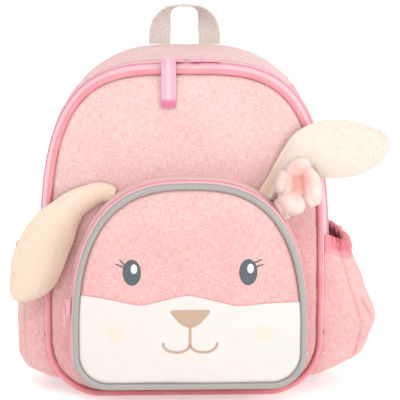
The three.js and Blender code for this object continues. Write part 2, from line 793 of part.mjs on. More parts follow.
function addFacePrints() {
  const printLift = filmClearance;
  const glintLift = 2 * filmClearance + filmThickness;
  const sides = [
    { name: 'left', sign: -1 },
    { name: 'right', sign: 1 },
  ];
  const lashes = [
    { turn: 52, bend: 18 },
    { turn: 28, bend: 14 },
  ];
  const lashRoot = 0.42;
  const lashSlope = 0.8;
  for (const { name, sign } of sides) {
    const x = faceCentre + (sign * eyeSpacing) / 2;
    const eye = filmSolid(ellipseShape(x, eyeLevel, eyeWidth, eyeHeight), printLift);
    const lashFilms = lashes.map(({ turn, bend }) => {
      const angle = THREE.MathUtils.degToRad(turn);
      const rootX = x + sign * lashRoot * eyeWidth * Math.cos(angle);
      const rootZ = eyeLevel + lashRoot * eyeHeight * Math.sin(angle);
      const points = spread(4, (step) => {
        const share = step / 3;
        const heading = angle * lashSlope - THREE.MathUtils.degToRad(bend * share);
        const reach = lashLength * share;
        return new THREE.Vector2(rootX + sign * reach * Math.cos(heading), rootZ + reach * Math.sin(heading));
      });
      return filmSolid(strokeShape(points, lashWidth), printLift);
    });
    addPiece(`eye_${name}`, joined([eye, ...lashFilms]), 'eye');
    const glint = ellipseShape(x + glintAcross, eyeLevel + glintUp, glintWidth, glintHeight);
    addPiece(`eye_glint_${name}`, filmSolid(glint, glintLift), 'glint');
    const cheekX = faceCentre + sign * (pocketWidth / 2 - cheekInset);
    const cheek = ellipseShape(cheekX, cheekLevel, cheekWidth, cheekHeight);
    addPiece(`cheek_${name}`, filmSolid(cheek, printLift), 'cheek');
  }

  const nose = new THREE.Shape();
  const left = faceCentre - noseWidth / 2;
  const right = faceCentre + noseWidth / 2;
  const tip = noseTop - noseHeight;
  const bulge = noseCorner / 3;
  const shoulder = noseCorner * 0.6;
  nose.moveTo(left + noseCorner, noseTop);
  nose.lineTo(right - noseCorner, noseTop);
  nose.quadraticCurveTo(right + bulge, noseTop, right - shoulder, noseTop - noseCorner);
  nose.quadraticCurveTo(faceCentre + noseTaper, tip, faceCentre, tip);
  nose.quadraticCurveTo(faceCentre - noseTaper, tip, left + shoulder, noseTop - noseCorner);
  nose.quadraticCurveTo(left - bulge, noseTop, left + noseCorner, noseTop);
  const noseFilm = filmSolid(nose, printLift);

  const mouthTop = tip - gap;
  const mouthLow = tip - mouthDrop;
  const stemTop = new THREE.Vector2(faceCentre, mouthTop);
  const stemFoot = new THREE.Vector2(faceCentre, mouthLow - mouthStroke / 2);
  const stem = strokeShape([stemTop, stemFoot], mouthStroke);
  const arcs = sides.map(({ sign }) => {
    const reach = mouthWidth / 4;
    const arcSteps = 10;
    const overrun = 0.06;
    const points = spread(arcSteps + 1, (step) => {
      const angle = mix(-overrun, 1 + overrun, step / arcSteps) * Math.PI;
      return new THREE.Vector2(
        faceCentre + sign * reach * (1 - Math.cos(angle)), mouthLow - mouthCurl * Math.sin(angle));
    });
    return filmSolid(strokeShape(points, mouthStroke), printLift);
  });
  addPiece('nose', noseFilm, 'tan');
  addPiece('mouth', joined([filmSolid(stem, printLift), ...arcs]), 'tan');
}

// Ears: rows run from the sewn base to the tip. Across and up are shares of the ear's length from its base,
// width is a share of the ear's width, and out is how far the middle stands off the front panel as a share of
// the ear's thickness.
const leftEar = {
  x: earCentre - earBaseSpacing / 2,
  z: pocketTop - leftEarDrop,
  rows: [
    { across: 0.000, up: 0.000, width: 0.20, out: 0.27 },
    { across: -0.062, up: 0.006, width: 0.26, out: 0.31 },
    { across: -0.144, up: -0.035, width: 0.34, out: 0.40 },
    { across: -0.240, up: -0.092, width: 0.47, out: 0.55 },
    { across: -0.304, up: -0.168, width: 0.68, out: 0.75 },
    { across: -0.367, up: -0.250, width: 0.88, out: 0.90 },
    { across: -0.429, up: -0.356, width: 0.97, out: 1.00 },
    { across: -0.484, up: -0.484, width: 1.00, out: 1.00 },
    { across: -0.527, up: -0.590, width: 0.91, out: 0.95 },
    { across: -0.589, up: -0.676, width: 0.62, out: 0.90 },
    { across: -0.640, up: -0.740, width: 0.26, out: 0.85 },
  ],
};
const rightEar = {
  x: earCentre + earBaseSpacing / 2,
  z: pocketTop - rightEarDrop,
  rows: [
    { across: 0.000, up: 0.000, width: 0.30, out: 0.33 },
    { across: 0.040, up: 0.050, width: 0.38, out: 0.40 },
    { across: 0.105, up: 0.130, width: 0.50, out: 0.50 },
    { across: 0.175, up: 0.205, width: 0.66, out: 0.68 },
    { across: 0.250, up: 0.260, width: 0.90, out: 0.85 },
    { across: 0.337, up: 0.278, width: 1.08, out: 1.00 },
    { across: 0.444, up: 0.282, width: 1.14, out: 1.10 },
    { across: 0.560, up: 0.286, width: 1.06, out: 1.15 },
    { across: 0.670, up: 0.300, width: 0.84, out: 1.15 },
    { across: 0.750, up: 0.318, width: 0.48, out: 1.10 },
    { across: 0.793, up: 0.328, width: 0.18, out: 1.00 },
  ],
};

function earMiddle(ear, share) {
  const x = ear.x + smoothRow(ear.rows, share, 'across') * earLength;
  const z = ear.z + smoothRow(ear.rows, share, 'up') * earLength;
  const stand = smoothRow(ear.rows, share, 'out') * earThickness;
  return new THREE.Vector3(x, frontY(x, z) - gap - stand, z);
}

// One cloth of an ear. Side 1 faces the front and -1 the bag. A narrow stretch is less plump than a wide one.
function earHalf(ear, side) {
  const step = 0.02;
  const fullWidth = 0.6;
  const surface = (outerFace) => (column, row) => {
    const ahead = earMiddle(ear, Math.min(row + step, 1));
    const behind = earMiddle(ear, Math.max(row - step, 0));
    const along = ahead.sub(behind).setY(0).normalize();
    const across = new THREE.Vector3(-along.z, 0, along.x);
    const share = 2 * column - 1;
    const width = smoothRow(ear.rows, row, 'width');
    const point = earMiddle(ear, row).addScaledVector(across, (share * width * earWidth) / 2);
    const plump = Math.min(1, width / fullWidth);
    const swell = earRim + (earThickness / 2 - earRim) * plump * (1 - share ** 2);
    const cup = (earCup / 2) * share ** 2 * plump;
    point.y += cup - side * (outerFace ? swell : gap / 2);
    return point;
  };
  return sheetSolid(6, 14, surface(true), surface(false));
}

// Petals sit round the foot of the right ear: places are shares of a petal's size from the flower's middle
const petals = [
  { x: -0.12, z: 0.88, wide: 1.20, tall: 1.20 },
  { x: 0.58, z: 0.36, wide: 1.15, tall: 1.45 },
  { x: 0.60, z: -0.54, wide: 1.20, tall: 1.35 },
  { x: -0.42, z: -0.82, wide: 1.35, tall: 1.25 },
  { x: -0.68, z: 0.10, wide: 1.10, tall: 1.35 },
  { x: 0.00, z: 0.00, wide: 1.15, tall: 1.15 },
];

function addEars() {
  addPiece('ear_left', earHalf(leftEar, 1), 'plush');
  addPiece('ear_left_lining', earHalf(leftEar, -1), 'lining');
  addPiece('ear_right', earHalf(rightEar, -1), 'plush');
  addPiece('ear_right_lining', earHalf(rightEar, 1), 'lining');
  const footShare = 0.2;
  const seat = earMiddle(rightEar, footShare);
  const flowerY = seat.y - earThickness / 2 - flowerThickness / 2 - gap;
  const middle = new THREE.Vector3(seat.x + flowerAcross, flowerY, seat.z - flowerDown);
  const puffs = petals.map((petal) => {
    const puff = new THREE.SphereGeometry(petalSize / 2, 9, 6);
    puff.scale(petal.wide, flowerThickness / petalSize, petal.tall);
    return puff.translate(middle.x + petal.x * petalSize, middle.y, middle.z + petal.z * petalSize);
  });
  addPiece('ear_flower', joined(puffs), 'petal');
}

// The grab handle's webbing faces the front at its legs and turns edge-on over the top
function addHandle() {
  const y = bodyDepth / 2 - handleSetback;
  const shape = bodyShape(y);
  const half = handleSpan / 2;
  const steps = 18;
  const stations = spread(steps + 1, (index) => {
    const share = index / steps;
    const angle = Math.PI * (1 - share);
    const swing = Math.sign(Math.cos(angle)) * Math.abs(Math.cos(angle)) ** handleSquareness;
    const x = handleCentre + half * swing;
    const z = shape.top + gap + (handleRise - handleThickness) * Math.sin(angle) ** handleFullness;
    return { point: new THREE.Vector3(x, y, z), share };
  });
  stations.forEach((station, index) => {
    const ahead = stations[Math.min(index + 1, steps)].point;
    const behind = stations[Math.max(index - 1, 0)].point;
    const along = ahead.clone().sub(behind).normalize();
    const twist = (Math.PI / 2) * Math.sin(Math.PI * station.share) ** 2;
    const flat = Math.cos(twist);
    station.across = new THREE.Vector3(along.z * flat, Math.sin(twist), -along.x * flat);
  });
  const foot = new THREE.Vector3(1, 0, 0);
  stations[0].across = foot.clone();
  stations[steps].across = foot.clone().negate();
  addPiece('grab_handle', strapSolid(stations, handleWidth, handleThickness), 'webbing');
}

// Side pockets: reach is how far the cloth stands off the side as a share of the pocket's reach, and height
// is a share of the pocket's height. The first rows are the sagging bottom.
const sidePocketRows = [
  { reach: -0.50, height: 0.078 },
  { reach: -0.10, height: 0.066 },
  { reach: 0.14, height: 0.096 },
  { reach: 0.42, height: 0.140 },
  { reach: 0.69, height: 0.190 },
  { reach: 0.79, height: 0.262 },
  { reach: 0.87, height: 0.338 },
  { reach: 1.00, height: 0.430 },
  { reach: 0.90, height: 0.540 },
  { reach: 0.74, height: 0.680 },
  { reach: 0.62, height: 0.800 },
  { reach: 0.54, height: 0.885 },
];

const sidePocketFrontY = yFront + frontPipingRadius + sidePocketSetback;
const sidePocketRearY = yBack - sidePocketInset;
const sidePocketMiddleY = (sidePocketFrontY + sidePocketRearY) / 2;
const sidePocketSpan = sidePocketRearY - sidePocketFrontY;

// Share runs from the bottom to the rim, column from the front seam to the back one. Most caps the reach.
function sidePocketSurface(sign, most, share, column, inner) {
  const angle = Math.PI * column;
  const heightShare = smoothRow(sidePocketRows, share, 'height');
  const rowReach = Math.min(smoothRow(sidePocketRows, share, 'reach') * sidePocketReach, most);
  const frontLift = (frontRise * (1 + Math.cos(angle)) * Math.max(0, 1 - share / frontRiseShare)) / 2;
  const z = heightShare * sidePocketHeight + frontLift - rimDrop * share ** 3 * Math.sin(angle);
  const y = -(sidePocketSpan / 2 - (inner ? sidePocketWall : 0)) * Math.cos(angle) + sidePocketMiddleY;
  const shape = bodyShape(y);
  const edge = bodyHalfAt(shape, z) + gap * 2 + cornerClearance * Math.max(0, 1 - z / shape.radius);
  const outermost = Math.max(shape.halfWidth + rowReach, edge + sidePocketWall * 1.5);
  const spreadOut = Math.max(Math.sin(angle), 0) ** sidePocketFullness;
  const thin = inner ? sidePocketWall * Math.min(1, spreadOut * 4) : 0;
  const x = Math.max(mix(edge, outermost, spreadOut) - thin, edge);
  const lift = inner && share < bottomShare ? sidePocketWall : 0;
  return new THREE.Vector3(shape.centre + sign * x, y, z + lift);
}

function bodyHalfAt(shape, z) {
  if (z < shape.radius) {
    const rise = shape.radius - Math.max(z, 0);
    return shape.halfWidth - shape.radius + Math.sqrt(shape.radius ** 2 - rise ** 2);
  }
  const share = Math.max(0, (z - shape.archBase) / (shape.top - shape.archBase));
  return shape.halfWidth * (1 - share ** shape.power) ** (1 / shape.power);
}

function bandSurface(sign, most, column, row, inner) {
  const angle = Math.PI * column;
  const foot = sidePocketSurface(sign, most, 1, column, inner);
  const rise = row * bandHeight;
  const lean = bandLean * row * most * Math.sin(angle);
  const wave = gatherDepth * row * Math.sin(angle) * Math.cos(2 * Math.PI * bandGathers * column);
  const shape = bodyShape(foot.y);
  const z = foot.z + 2 * gap + rise;
  const edge = bodyHalfAt(shape, z) + gap * 2;
  const out = Math.max((foot.x - shape.centre) * sign - lean + wave, edge);
  return new THREE.Vector3(shape.centre + sign * out, foot.y, z);
}

function addSidePockets() {
  const pockets = [
    { name: 'right', sign: 1, reach: sidePocketReach },
    { name: 'left', sign: -1, reach: flatPocketReach },
  ];
  for (const { name, sign, reach } of pockets) {
    const cloth = (inner) => (column, row) => sidePocketSurface(sign, reach, row, column, inner);
    addPiece(`side_pocket_${name}`, sheetSolid(10, 11, cloth(false), cloth(true)), 'melange');
    const band = (inner) => (column, row) => bandSurface(sign, reach, column, row, inner);
    addPiece(`pocket_band_${name}`, sheetSolid(28, 2, band(false), band(true)), 'coral');
  }
}

// Shoulder straps: off is the distance from the back as a share of the reach. Splay and height run from the
// top anchor to the lower one.
const strapRows = [
  { off: 0.00, splay: 0.00, height: 1.00 },
  { off: 0.56, splay: 0.02, height: 0.99 },
  { off: 0.88, splay: 0.07, height: 0.90 },
  { off: 1.00, splay: 0.16, height: 0.75 },
  { off: 0.97, splay: 0.27, height: 0.60 },
  { off: 0.84, splay: 0.38, height: 0.47 },
  { off: 0.68, splay: 0.50, height: 0.36 },
  { off: 0.52, splay: 0.64, height: 0.25 },
  { off: 0.32, splay: 0.80, height: 0.13 },
  { off: 0.12, splay: 0.94, height: 0.04 },
  { off: 0.03, splay: 1.00, height: 0.00 },
];

function strapPoint(sign, share) {
  const x = sign * (strapInset + smoothRow(strapRows, share, 'splay') * strapSplay);
  const seat = yBack + backWall + gap + strapSeat;
  const y = seat + smoothRow(strapRows, share, 'off') * strapReach;
  const z = mix(strapBottom, strapTop, smoothRow(strapRows, share, 'height'));
  return new THREE.Vector3(x, y, z);
}

function strapStations(sign, from, to, count, crown) {
  return spread(count, (index) => {
    const point = strapPoint(sign, mix(from, to, index / (count - 1)));
    const station = { point, across: new THREE.Vector3(1, 0, 0) };
    return crown === undefined ? station : { ...station, crown };
  });
}

function addStraps() {
  const padSteps = 14;
  const webbingSteps = 12;
  const adjusterStep = 4;
  for (const { name, sign } of [{ name: 'left', sign: -1 }, { name: 'right', sign: 1 }]) {
    const pad = strapStations(sign, 0, padShare, padSteps, strapEdge);
    addPiece(`strap_pad_${name}`, strapSolid(pad, strapWidth, strapThickness), 'melange');
    const seamStep = gap / (strapTop - strapBottom);
    const webbing = strapStations(sign, padShare + seamStep, 1, webbingSteps);
    addPiece(`strap_webbing_${name}`, strapSolid(webbing, webbingWidth, webbingThickness), 'webbing');
    const above = webbing[adjusterStep];
    addPiece(`strap_adjuster_${name}`, adjusterSolid(above, webbing[adjusterStep + 1]), 'buckle');
  }
}

// A plain rectangular loop round the webbing
function adjusterSolid(from, to) {
  const play = 2 * gap;
  const bar = adjusterWall * 2;
  const loop = new THREE.BoxGeometry(
    webbingWidth + 2 * play + bar, webbingThickness + 2 * play + bar, adjusterHeight);
  const hole = new THREE.BoxGeometry(
    webbingWidth + 2 * play, webbingThickness + 2 * play, adjusterHeight * 2);
  const solid = fromManifold(toManifold(loop).subtract(toManifold(hole)));
  const along = to.point.clone().sub(from.point).normalize();
  const across = from.across.clone().addScaledVector(along, -from.across.dot(along)).normalize();
  const face = new THREE.Vector3().crossVectors(along, across);
  const frame = new THREE.Matrix4().makeBasis(across, face, along);
  const middle = from.point.clone().add(to.point).multiplyScalar(0.5);
  return solid.applyMatrix4(frame.setPosition(middle));
}

addBody();
addMainZipFittings();
addRibbon();
addPocket();
addFacePrints();
addEars();
addHandle();
addSidePockets();
addStraps();

export default backpack;
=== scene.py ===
"""Kindergarten backpack with an animal's face: cloth, plush, zips and prints round a frame."""

import math
from collections import namedtuple
from types import SimpleNamespace

import bmesh
import bpy
import numpy as np
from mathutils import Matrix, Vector


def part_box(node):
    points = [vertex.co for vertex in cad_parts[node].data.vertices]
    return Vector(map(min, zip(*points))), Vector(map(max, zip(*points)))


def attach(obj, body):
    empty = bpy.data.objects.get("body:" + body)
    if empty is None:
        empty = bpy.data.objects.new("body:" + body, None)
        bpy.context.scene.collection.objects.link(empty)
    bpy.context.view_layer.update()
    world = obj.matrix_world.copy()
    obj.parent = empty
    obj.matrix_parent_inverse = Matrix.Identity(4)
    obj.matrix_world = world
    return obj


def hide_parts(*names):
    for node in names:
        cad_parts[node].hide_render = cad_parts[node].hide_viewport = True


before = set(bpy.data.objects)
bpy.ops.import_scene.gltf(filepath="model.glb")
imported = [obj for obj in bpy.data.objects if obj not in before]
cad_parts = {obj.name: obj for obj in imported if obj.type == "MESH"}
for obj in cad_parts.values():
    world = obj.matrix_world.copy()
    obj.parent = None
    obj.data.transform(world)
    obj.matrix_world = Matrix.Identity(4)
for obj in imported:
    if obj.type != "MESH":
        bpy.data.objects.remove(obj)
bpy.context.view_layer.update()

# Sizes that the looks share, in metres
MM = 0.001
GAP = 0.3 * MM
CLOTH = 1.3 * MM
TAPE = 1.0 * MM
FRONT_PIPING = 2.3 * MM
POCKET_PIPING = 2.8 * MM
PRINT = 0.25 * MM
SEAM_LAP = 0.2 * MM

# Places and sizes that come from the frame
front_low, front_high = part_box("front_piping")
back_low, back_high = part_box("back_panel")
pocket_low, pocket_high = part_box("reflective_piping")
_, tape_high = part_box("main_zip_tape")
ribbon_low, ribbon_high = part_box("ribbon_pull")
handle_low, handle_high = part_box("grab_handle")
flower_low, flower_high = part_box("ear_flower")

Y_FRONT = (front_low.y + front_high.y) / 2
Y_REAR = back_high.y
Y_BACK = back_low.y
Y_TAPE_REAR = tape_high.y
BODY_DEPTH = Y_REAR - Y_FRONT
BODY_HALF = (front_high.x - front_low.x) / 2
FRONT_SHIFT = (front_high.x + front_low.x) / 2
FRONT_TOP = front_high.z
BACK_TOP = back_high.z
POCKET_DEPTH = 41 * MM
Y_FACE = Y_FRONT - POCKET_DEPTH
FACE_HALF = (pocket_high.x - pocket_low.x) / 2
FACE_CENTRE = (pocket_high.x + pocket_low.x) / 2
FACE_TOP = pocket_high.z
FACE_BOTTOM = pocket_low.z
RIBBON_LENGTH = (ribbon_high.z - ribbon_low.z) + 3 * MM
FLOWER_HEART = tuple((flower_low + flower_high) / 2)

# Shapes of the bag and its pocket
SIDE_SWELL = 7.5 * MM
ARCH_BASE = 85 * MM
FRONT_ARCH_POWER = 3.55
BACK_ARCH_POWER = 3.1
CORNER_RADIUS = 48 * MM
CORNER_GROWTH = 13 * MM
FRONT_CROWN = 8 * MM
POCKET_CROWN = 6 * MM
POCKET_FLARE = 4.5 * MM
POCKET_TOP_FLARE = 2 * MM
POCKET_BOTTOM_FLARE = 3.5 * MM
POCKET_ARCH_BASE = 56 * MM
POCKET_ARCH_POWER = 2.65
POCKET_CORNER_RADIUS = 30 * MM
MAIN_ZIP_END = 2.1
GORE_LOW = 3.49
GORE_HIGH = 3.55
POCKET_ZIP_RIGHT = 2.2
POCKET_ZIP_LEFT = 6.3
POCKET_TAPE_WIDTH = 15 * MM
POCKET_TUCK = 2.4 * MM
POCKET_TUCK_REACH = 2.1 * MM
FULL_TURN = 8.0
TOP_PLACE = 4.0


def mix(a, b, share):
    return a + (b - a) * share


def ease(share):
    share = np.clip(share, 0.0, 1.0)
    return share * share * (3 - 2 * share)


def unit(vectors):
    """The same directions at length one."""
    return vectors / np.linalg.norm(vectors, axis=-1, keepdims=True)


def ripple(a, b, seed, size, count=7):
    """Smooth seeded bumps, mostly between -1 and 1, about size apart over two coordinates in metres."""
    random = np.random.default_rng(seed)
    total = 0.0
    for _ in range(count):
        heading = random.uniform(0, 2 * math.pi)
        pace = random.uniform(0.7, 1.6) * 2 * math.pi / size
        phase = random.uniform(0, 2 * math.pi)
        total = total + np.sin((a * math.cos(heading) + b * math.sin(heading)) * pace + phase)
    return total / math.sqrt(2 * count)


def along_rows(rows, share, name):
    """A smooth line through one column of a table."""
    values = np.array([getattr(row, name) for row in rows])
    last = len(rows) - 1
    spot = np.clip(share, 0.0, 1.0) * last
    base = np.minimum(spot.astype(int), last - 1)
    t = spot - base
    before = values[np.maximum(base - 1, 0)]
    a = values[base]
    b = values[base + 1]
    after = values[np.minimum(base + 2, last)]
    bend = 2 * a + (b - before) * t + (2 * before - 5 * a + 4 * b - after) * t**2
    return 0.5 * (bend + (3 * a - before - 3 * b + after) * t**3)


# Outlines seen from the front. Places run round them: 0 is the middle of the bottom, 1 to 2 the right
# corner, 2 to 3 the right side, 4 the top, and on down the left to 8.


def outline(shape, places):
    places = np.mod(places, FULL_TURN)
    mirrored = places > TOP_PLACE
    spot = np.where(mirrored, FULL_TURN - places, places)
    flat = shape.half - shape.radius
    corner = np.clip(spot - 1, 0, 1) * math.pi / 2
    arch = np.clip(spot - 3, 0, 1) * math.pi / 2
    cosine = np.maximum(np.cos(arch), 0)
    sine = np.sin(arch)
    reach = (cosine**shape.power + sine**shape.power) ** (-1 / shape.power)
    side_x = flat + shape.radius * np.sin(corner)
    side_z = shape.bottom + shape.radius * (1 - np.cos(corner))
    straight_z = mix(shape.bottom + shape.radius, shape.arch_base, np.clip(spot - 2, 0, 1))
    x = np.where(spot < 1, flat * spot, side_x)
    z = np.where(spot < 2, side_z, straight_z)
    x = np.where(spot < 3, x, shape.half * reach * cosine)
    z = np.where(spot < 3, z, shape.arch_base + (shape.top - shape.arch_base) * reach * sine)
    return shape.centre + np.where(mirrored, -x, x), z


def inset(shape, places, distance):
    """The outline moved inward by a distance."""
    nudge = 0.01
    x, z = outline(shape, places)
    ahead_x, ahead_z = outline(shape, places + nudge)
    behind_x, behind_z = outline(shape, places - nudge)
    dx = ahead_x - behind_x
    dz = ahead_z - behind_z
    length = np.hypot(dx, dz)
    return x - dz / length * distance, z + dx / length * distance


def even_places(shape, start, end, count):
    """Places at even lengths along the outline, and those lengths."""
    fine = np.linspace(start, end, 3000)
    x, z = outline(shape, fine)
    length = np.concatenate([[0], np.cumsum(np.hypot(np.diff(x), np.diff(z)))])
    spots = np.linspace(0, length[-1], count)
    return np.interp(spots, length, fine), spots


def body_shape(y):
    share = np.clip((y - Y_FRONT) / BODY_DEPTH, 0, 1)
    swell = 1 - np.abs(2 * share - 1) ** 3
    rise = 1 - (1 - share) ** 2
    return SimpleNamespace(
        half=BODY_HALF + SIDE_SWELL * swell,
        top=mix(FRONT_TOP, BACK_TOP, rise),
        bottom=0.0,
        arch_base=ARCH_BASE,
        power=mix(FRONT_ARCH_POWER, BACK_ARCH_POWER, rise),
        radius=CORNER_RADIUS + CORNER_GROWTH * swell,
        centre=FRONT_SHIFT * (1 - share),
    )


def pocket_shape(y):
    share = np.clip((y - Y_FACE) / POCKET_DEPTH, 0, 1)
    return SimpleNamespace(
        half=FACE_HALF + POCKET_FLARE * share,
        top=FACE_TOP + POCKET_TOP_FLARE * share,
        bottom=FACE_BOTTOM - POCKET_BOTTOM_FLARE * share,
        arch_base=POCKET_ARCH_BASE,
        power=POCKET_ARCH_POWER,
        radius=POCKET_CORNER_RADIUS,
        centre=FACE_CENTRE,
    )


front_shape = body_shape(Y_FRONT)
face_shape = pocket_shape(Y_FACE)


def crown_at(shape, x, z):
    power = 2.4
    middle = (shape.top + shape.bottom) / 2
    across = np.abs(x - shape.centre) / shape.half
    up = np.abs(z - middle) / ((shape.top - shape.bottom) / 2)
    return np.maximum(0, 1 - across**power) * np.maximum(0, 1 - up**power)


def front_y(x, z):
    return Y_FRONT - FRONT_CROWN * crown_at(front_shape, x, z)


def face_y(x, z):
    return Y_FACE - POCKET_CROWN * crown_at(face_shape, x, z)


def face_cloth_y(x, z):
    """The pocket's front with its soft dents."""
    return face_y(x, z) + 0.5 * MM * ripple(x, z, 12, 75 * MM)


# Meshes


def grid_faces(rows, columns, wrap):
    """Quads between the points of a grid. With wrap, the last column joins the first."""
    index = np.arange(rows * columns).reshape(rows, columns)
    left = index if wrap else index[:, :-1]
    right = np.roll(index, -1, axis=1) if wrap else index[:, 1:]
    return np.stack([left[:-1], right[:-1], right[1:], left[1:]], axis=-1).reshape(-1, 4)


def grid_normals(points, wrap=False):
    if wrap:
        across = np.roll(points, -1, axis=1) - np.roll(points, 1, axis=1)
    else:
        across = np.gradient(points, axis=1)
    along = np.gradient(points, axis=0)
    normals = np.cross(across, along)
    return normals / np.maximum(np.linalg.norm(normals, axis=-1, keepdims=True), 1e-12)


def grid_lengths(points, axis):
    """Distances run along a grid, which give its cloth coordinates."""
    steps = np.linalg.norm(np.diff(points, axis=axis), axis=-1)
    return np.insert(np.cumsum(steps, axis=axis), 0, 0, axis=axis)


def make_mesh(name, points, faces, weave):
    """A mesh with its cloth coordinates. A face that repeats its last corner becomes a triangle."""
    mesh = bpy.data.meshes.new(name)
    shapes = [face[:-1] if face[-1] == face[-2] else face for face in faces.tolist()]
    mesh.from_pydata(points.reshape(-1, 3).tolist(), [], shapes)
    layer = mesh.uv_layers.new(name="weave")
    corners = np.empty(len(mesh.loops), dtype=np.int32)
    mesh.loops.foreach_get("vertex_index", corners)
    layer.data.foreach_set("uv", weave.reshape(-1, 2)[corners].astype(np.float32).ravel())
    return mesh


def close_up(mesh, sharp_angle=50):
    """Merges coinciding points, turns the faces outward and smooths all but sharp edges."""
    work = bmesh.new()
    work.from_mesh(mesh)
    bmesh.ops.remove_doubles(work, verts=work.verts, dist=1e-7)
    loose = [edge for edge in work.edges if not edge.link_faces]
    bmesh.ops.delete(work, geom=loose, context="EDGES")
    bmesh.ops.recalc_face_normals(work, faces=work.faces)
    work.to_mesh(mesh)
    work.free()
    mesh.shade_smooth()
    mesh.set_sharp_from_angle(angle=math.radians(sharp_angle))


def add_piece(name, mesh, finish, nodes=()):
    piece = bpy.data.objects.new(name, mesh)
    bpy.context.scene.collection.objects.link(piece)
    mesh.materials.clear()
    mesh.materials.append(finishes[finish])
    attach(piece, "root")
    if nodes:
        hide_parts(*nodes)
    return piece


def sheet_mesh(name, outer, inner, weave, wrap=False, disc=False):
    """A closed cloth between two grids of points. A disc's first row is a single point."""
    rows, columns = outer.shape[:2]
    size = rows * columns
    faces = grid_faces(rows, columns, wrap)
    index = np.arange(size).reshape(rows, columns)
    if wrap:
        loops = [index[-1]] if disc else [index[0][::-1], index[-1]]
    else:
        loops = [np.concatenate([index[0, :-1], index[:-1, -1], index[-1, :0:-1], index[:0:-1, 0]])]
    rims = []
    for loop in loops:
        ahead = np.roll(loop, -1)
        rims.append(np.stack([loop, loop + size, ahead + size, ahead], axis=1))
    points = np.concatenate([outer.reshape(-1, 3), inner.reshape(-1, 3)])
    twice = np.concatenate([weave.reshape(-1, 2), weave.reshape(-1, 2)])
    mesh = make_mesh(name, points, np.concatenate([faces, faces[:, ::-1] + size, *rims]), twice)
    close_up(mesh)
    return mesh


def cloth_weave(points):
    """Cloth coordinates in metres: along the grid's columns and down its rows."""
    along = grid_lengths(points, 1)
    down = grid_lengths(points, 0)
    middle = points.shape[1] // 2
    return np.stack([along - along[:, middle : middle + 1], down], axis=-1)


def tube_mesh(name, centres, radius, sides, wrap):
    """A round cord along a line of points. Radius may be a number or one for each point."""
    count = len(centres)
    if wrap:
        along = unit(np.roll(centres, -1, axis=0) - np.roll(centres, 1, axis=0))
    else:
        along = unit(np.gradient(centres, axis=0))
    outward = unit(np.cross(along, (0.0, 1.0, 0.0)))
    upright = np.cross(outward, along)
    angle = np.linspace(0, 2 * math.pi, sides, endpoint=False)
    radius = np.broadcast_to(radius, count)[:, None, None]
    ring = outward[:, None] * np.cos(angle)[None, :, None] + upright[:, None] * np.sin(angle)[None, :, None]
    points = centres[:, None] + ring * radius
    lengths = grid_lengths(centres, 0)
    around = np.broadcast_to(angle * float(radius.mean()), (count, sides))
    weave = np.stack([np.broadcast_to(lengths[:, None], (count, sides)), around], axis=-1)
    if wrap:
        points = np.concatenate([points, points[:1]])
        weave = np.concatenate([weave, weave[:1] + [lengths[-1], 0]])
    faces = grid_faces(len(points), sides, True)
    if not wrap:
        size = len(points) * sides
        middles = np.stack([centres[0], centres[-1]])
        caps = []
        for side in range(sides):
            ahead = (side + 1) % sides
            caps.append([size, side, ahead, ahead])
            caps.append([size + 1, size - sides + ahead, size - sides + side, size - sides + side])
        points = np.concatenate([points.reshape(-1, 3), middles])
        weave = np.concatenate([weave.reshape(-1, 2), [[0, 0], [lengths[-1], 0]]])
        faces = np.concatenate([faces, caps])
    mesh = make_mesh(name, points, faces, weave)
    close_up(mesh)
    return mesh


def scatter_mesh(name, template, faces, places, axes):
    """Copies of a small template mesh. Axes give each copy's three directions, with its size."""
    count = len(places)
    points = places[:, None] + np.einsum("kj,njd->nkd", template, axes)
    offsets = np.arange(count)[:, None, None] * len(template)
    return make_mesh(name, points, (faces[None] + offsets).reshape(-1, faces.shape[1]), points[..., [0, 2]])


# Materials


def photo_colour(red, green, blue, light=1.4):
    """A surface colour that shows as this 8-bit colour under the scene's light."""
    linear = []
    for value in (red, green, blue):
        share = value / 255
        linear.append((share / 12.92 if share <= 0.04045 else ((share + 0.055) / 1.055) ** 2.4) / light)
    return (*linear, 1.0)


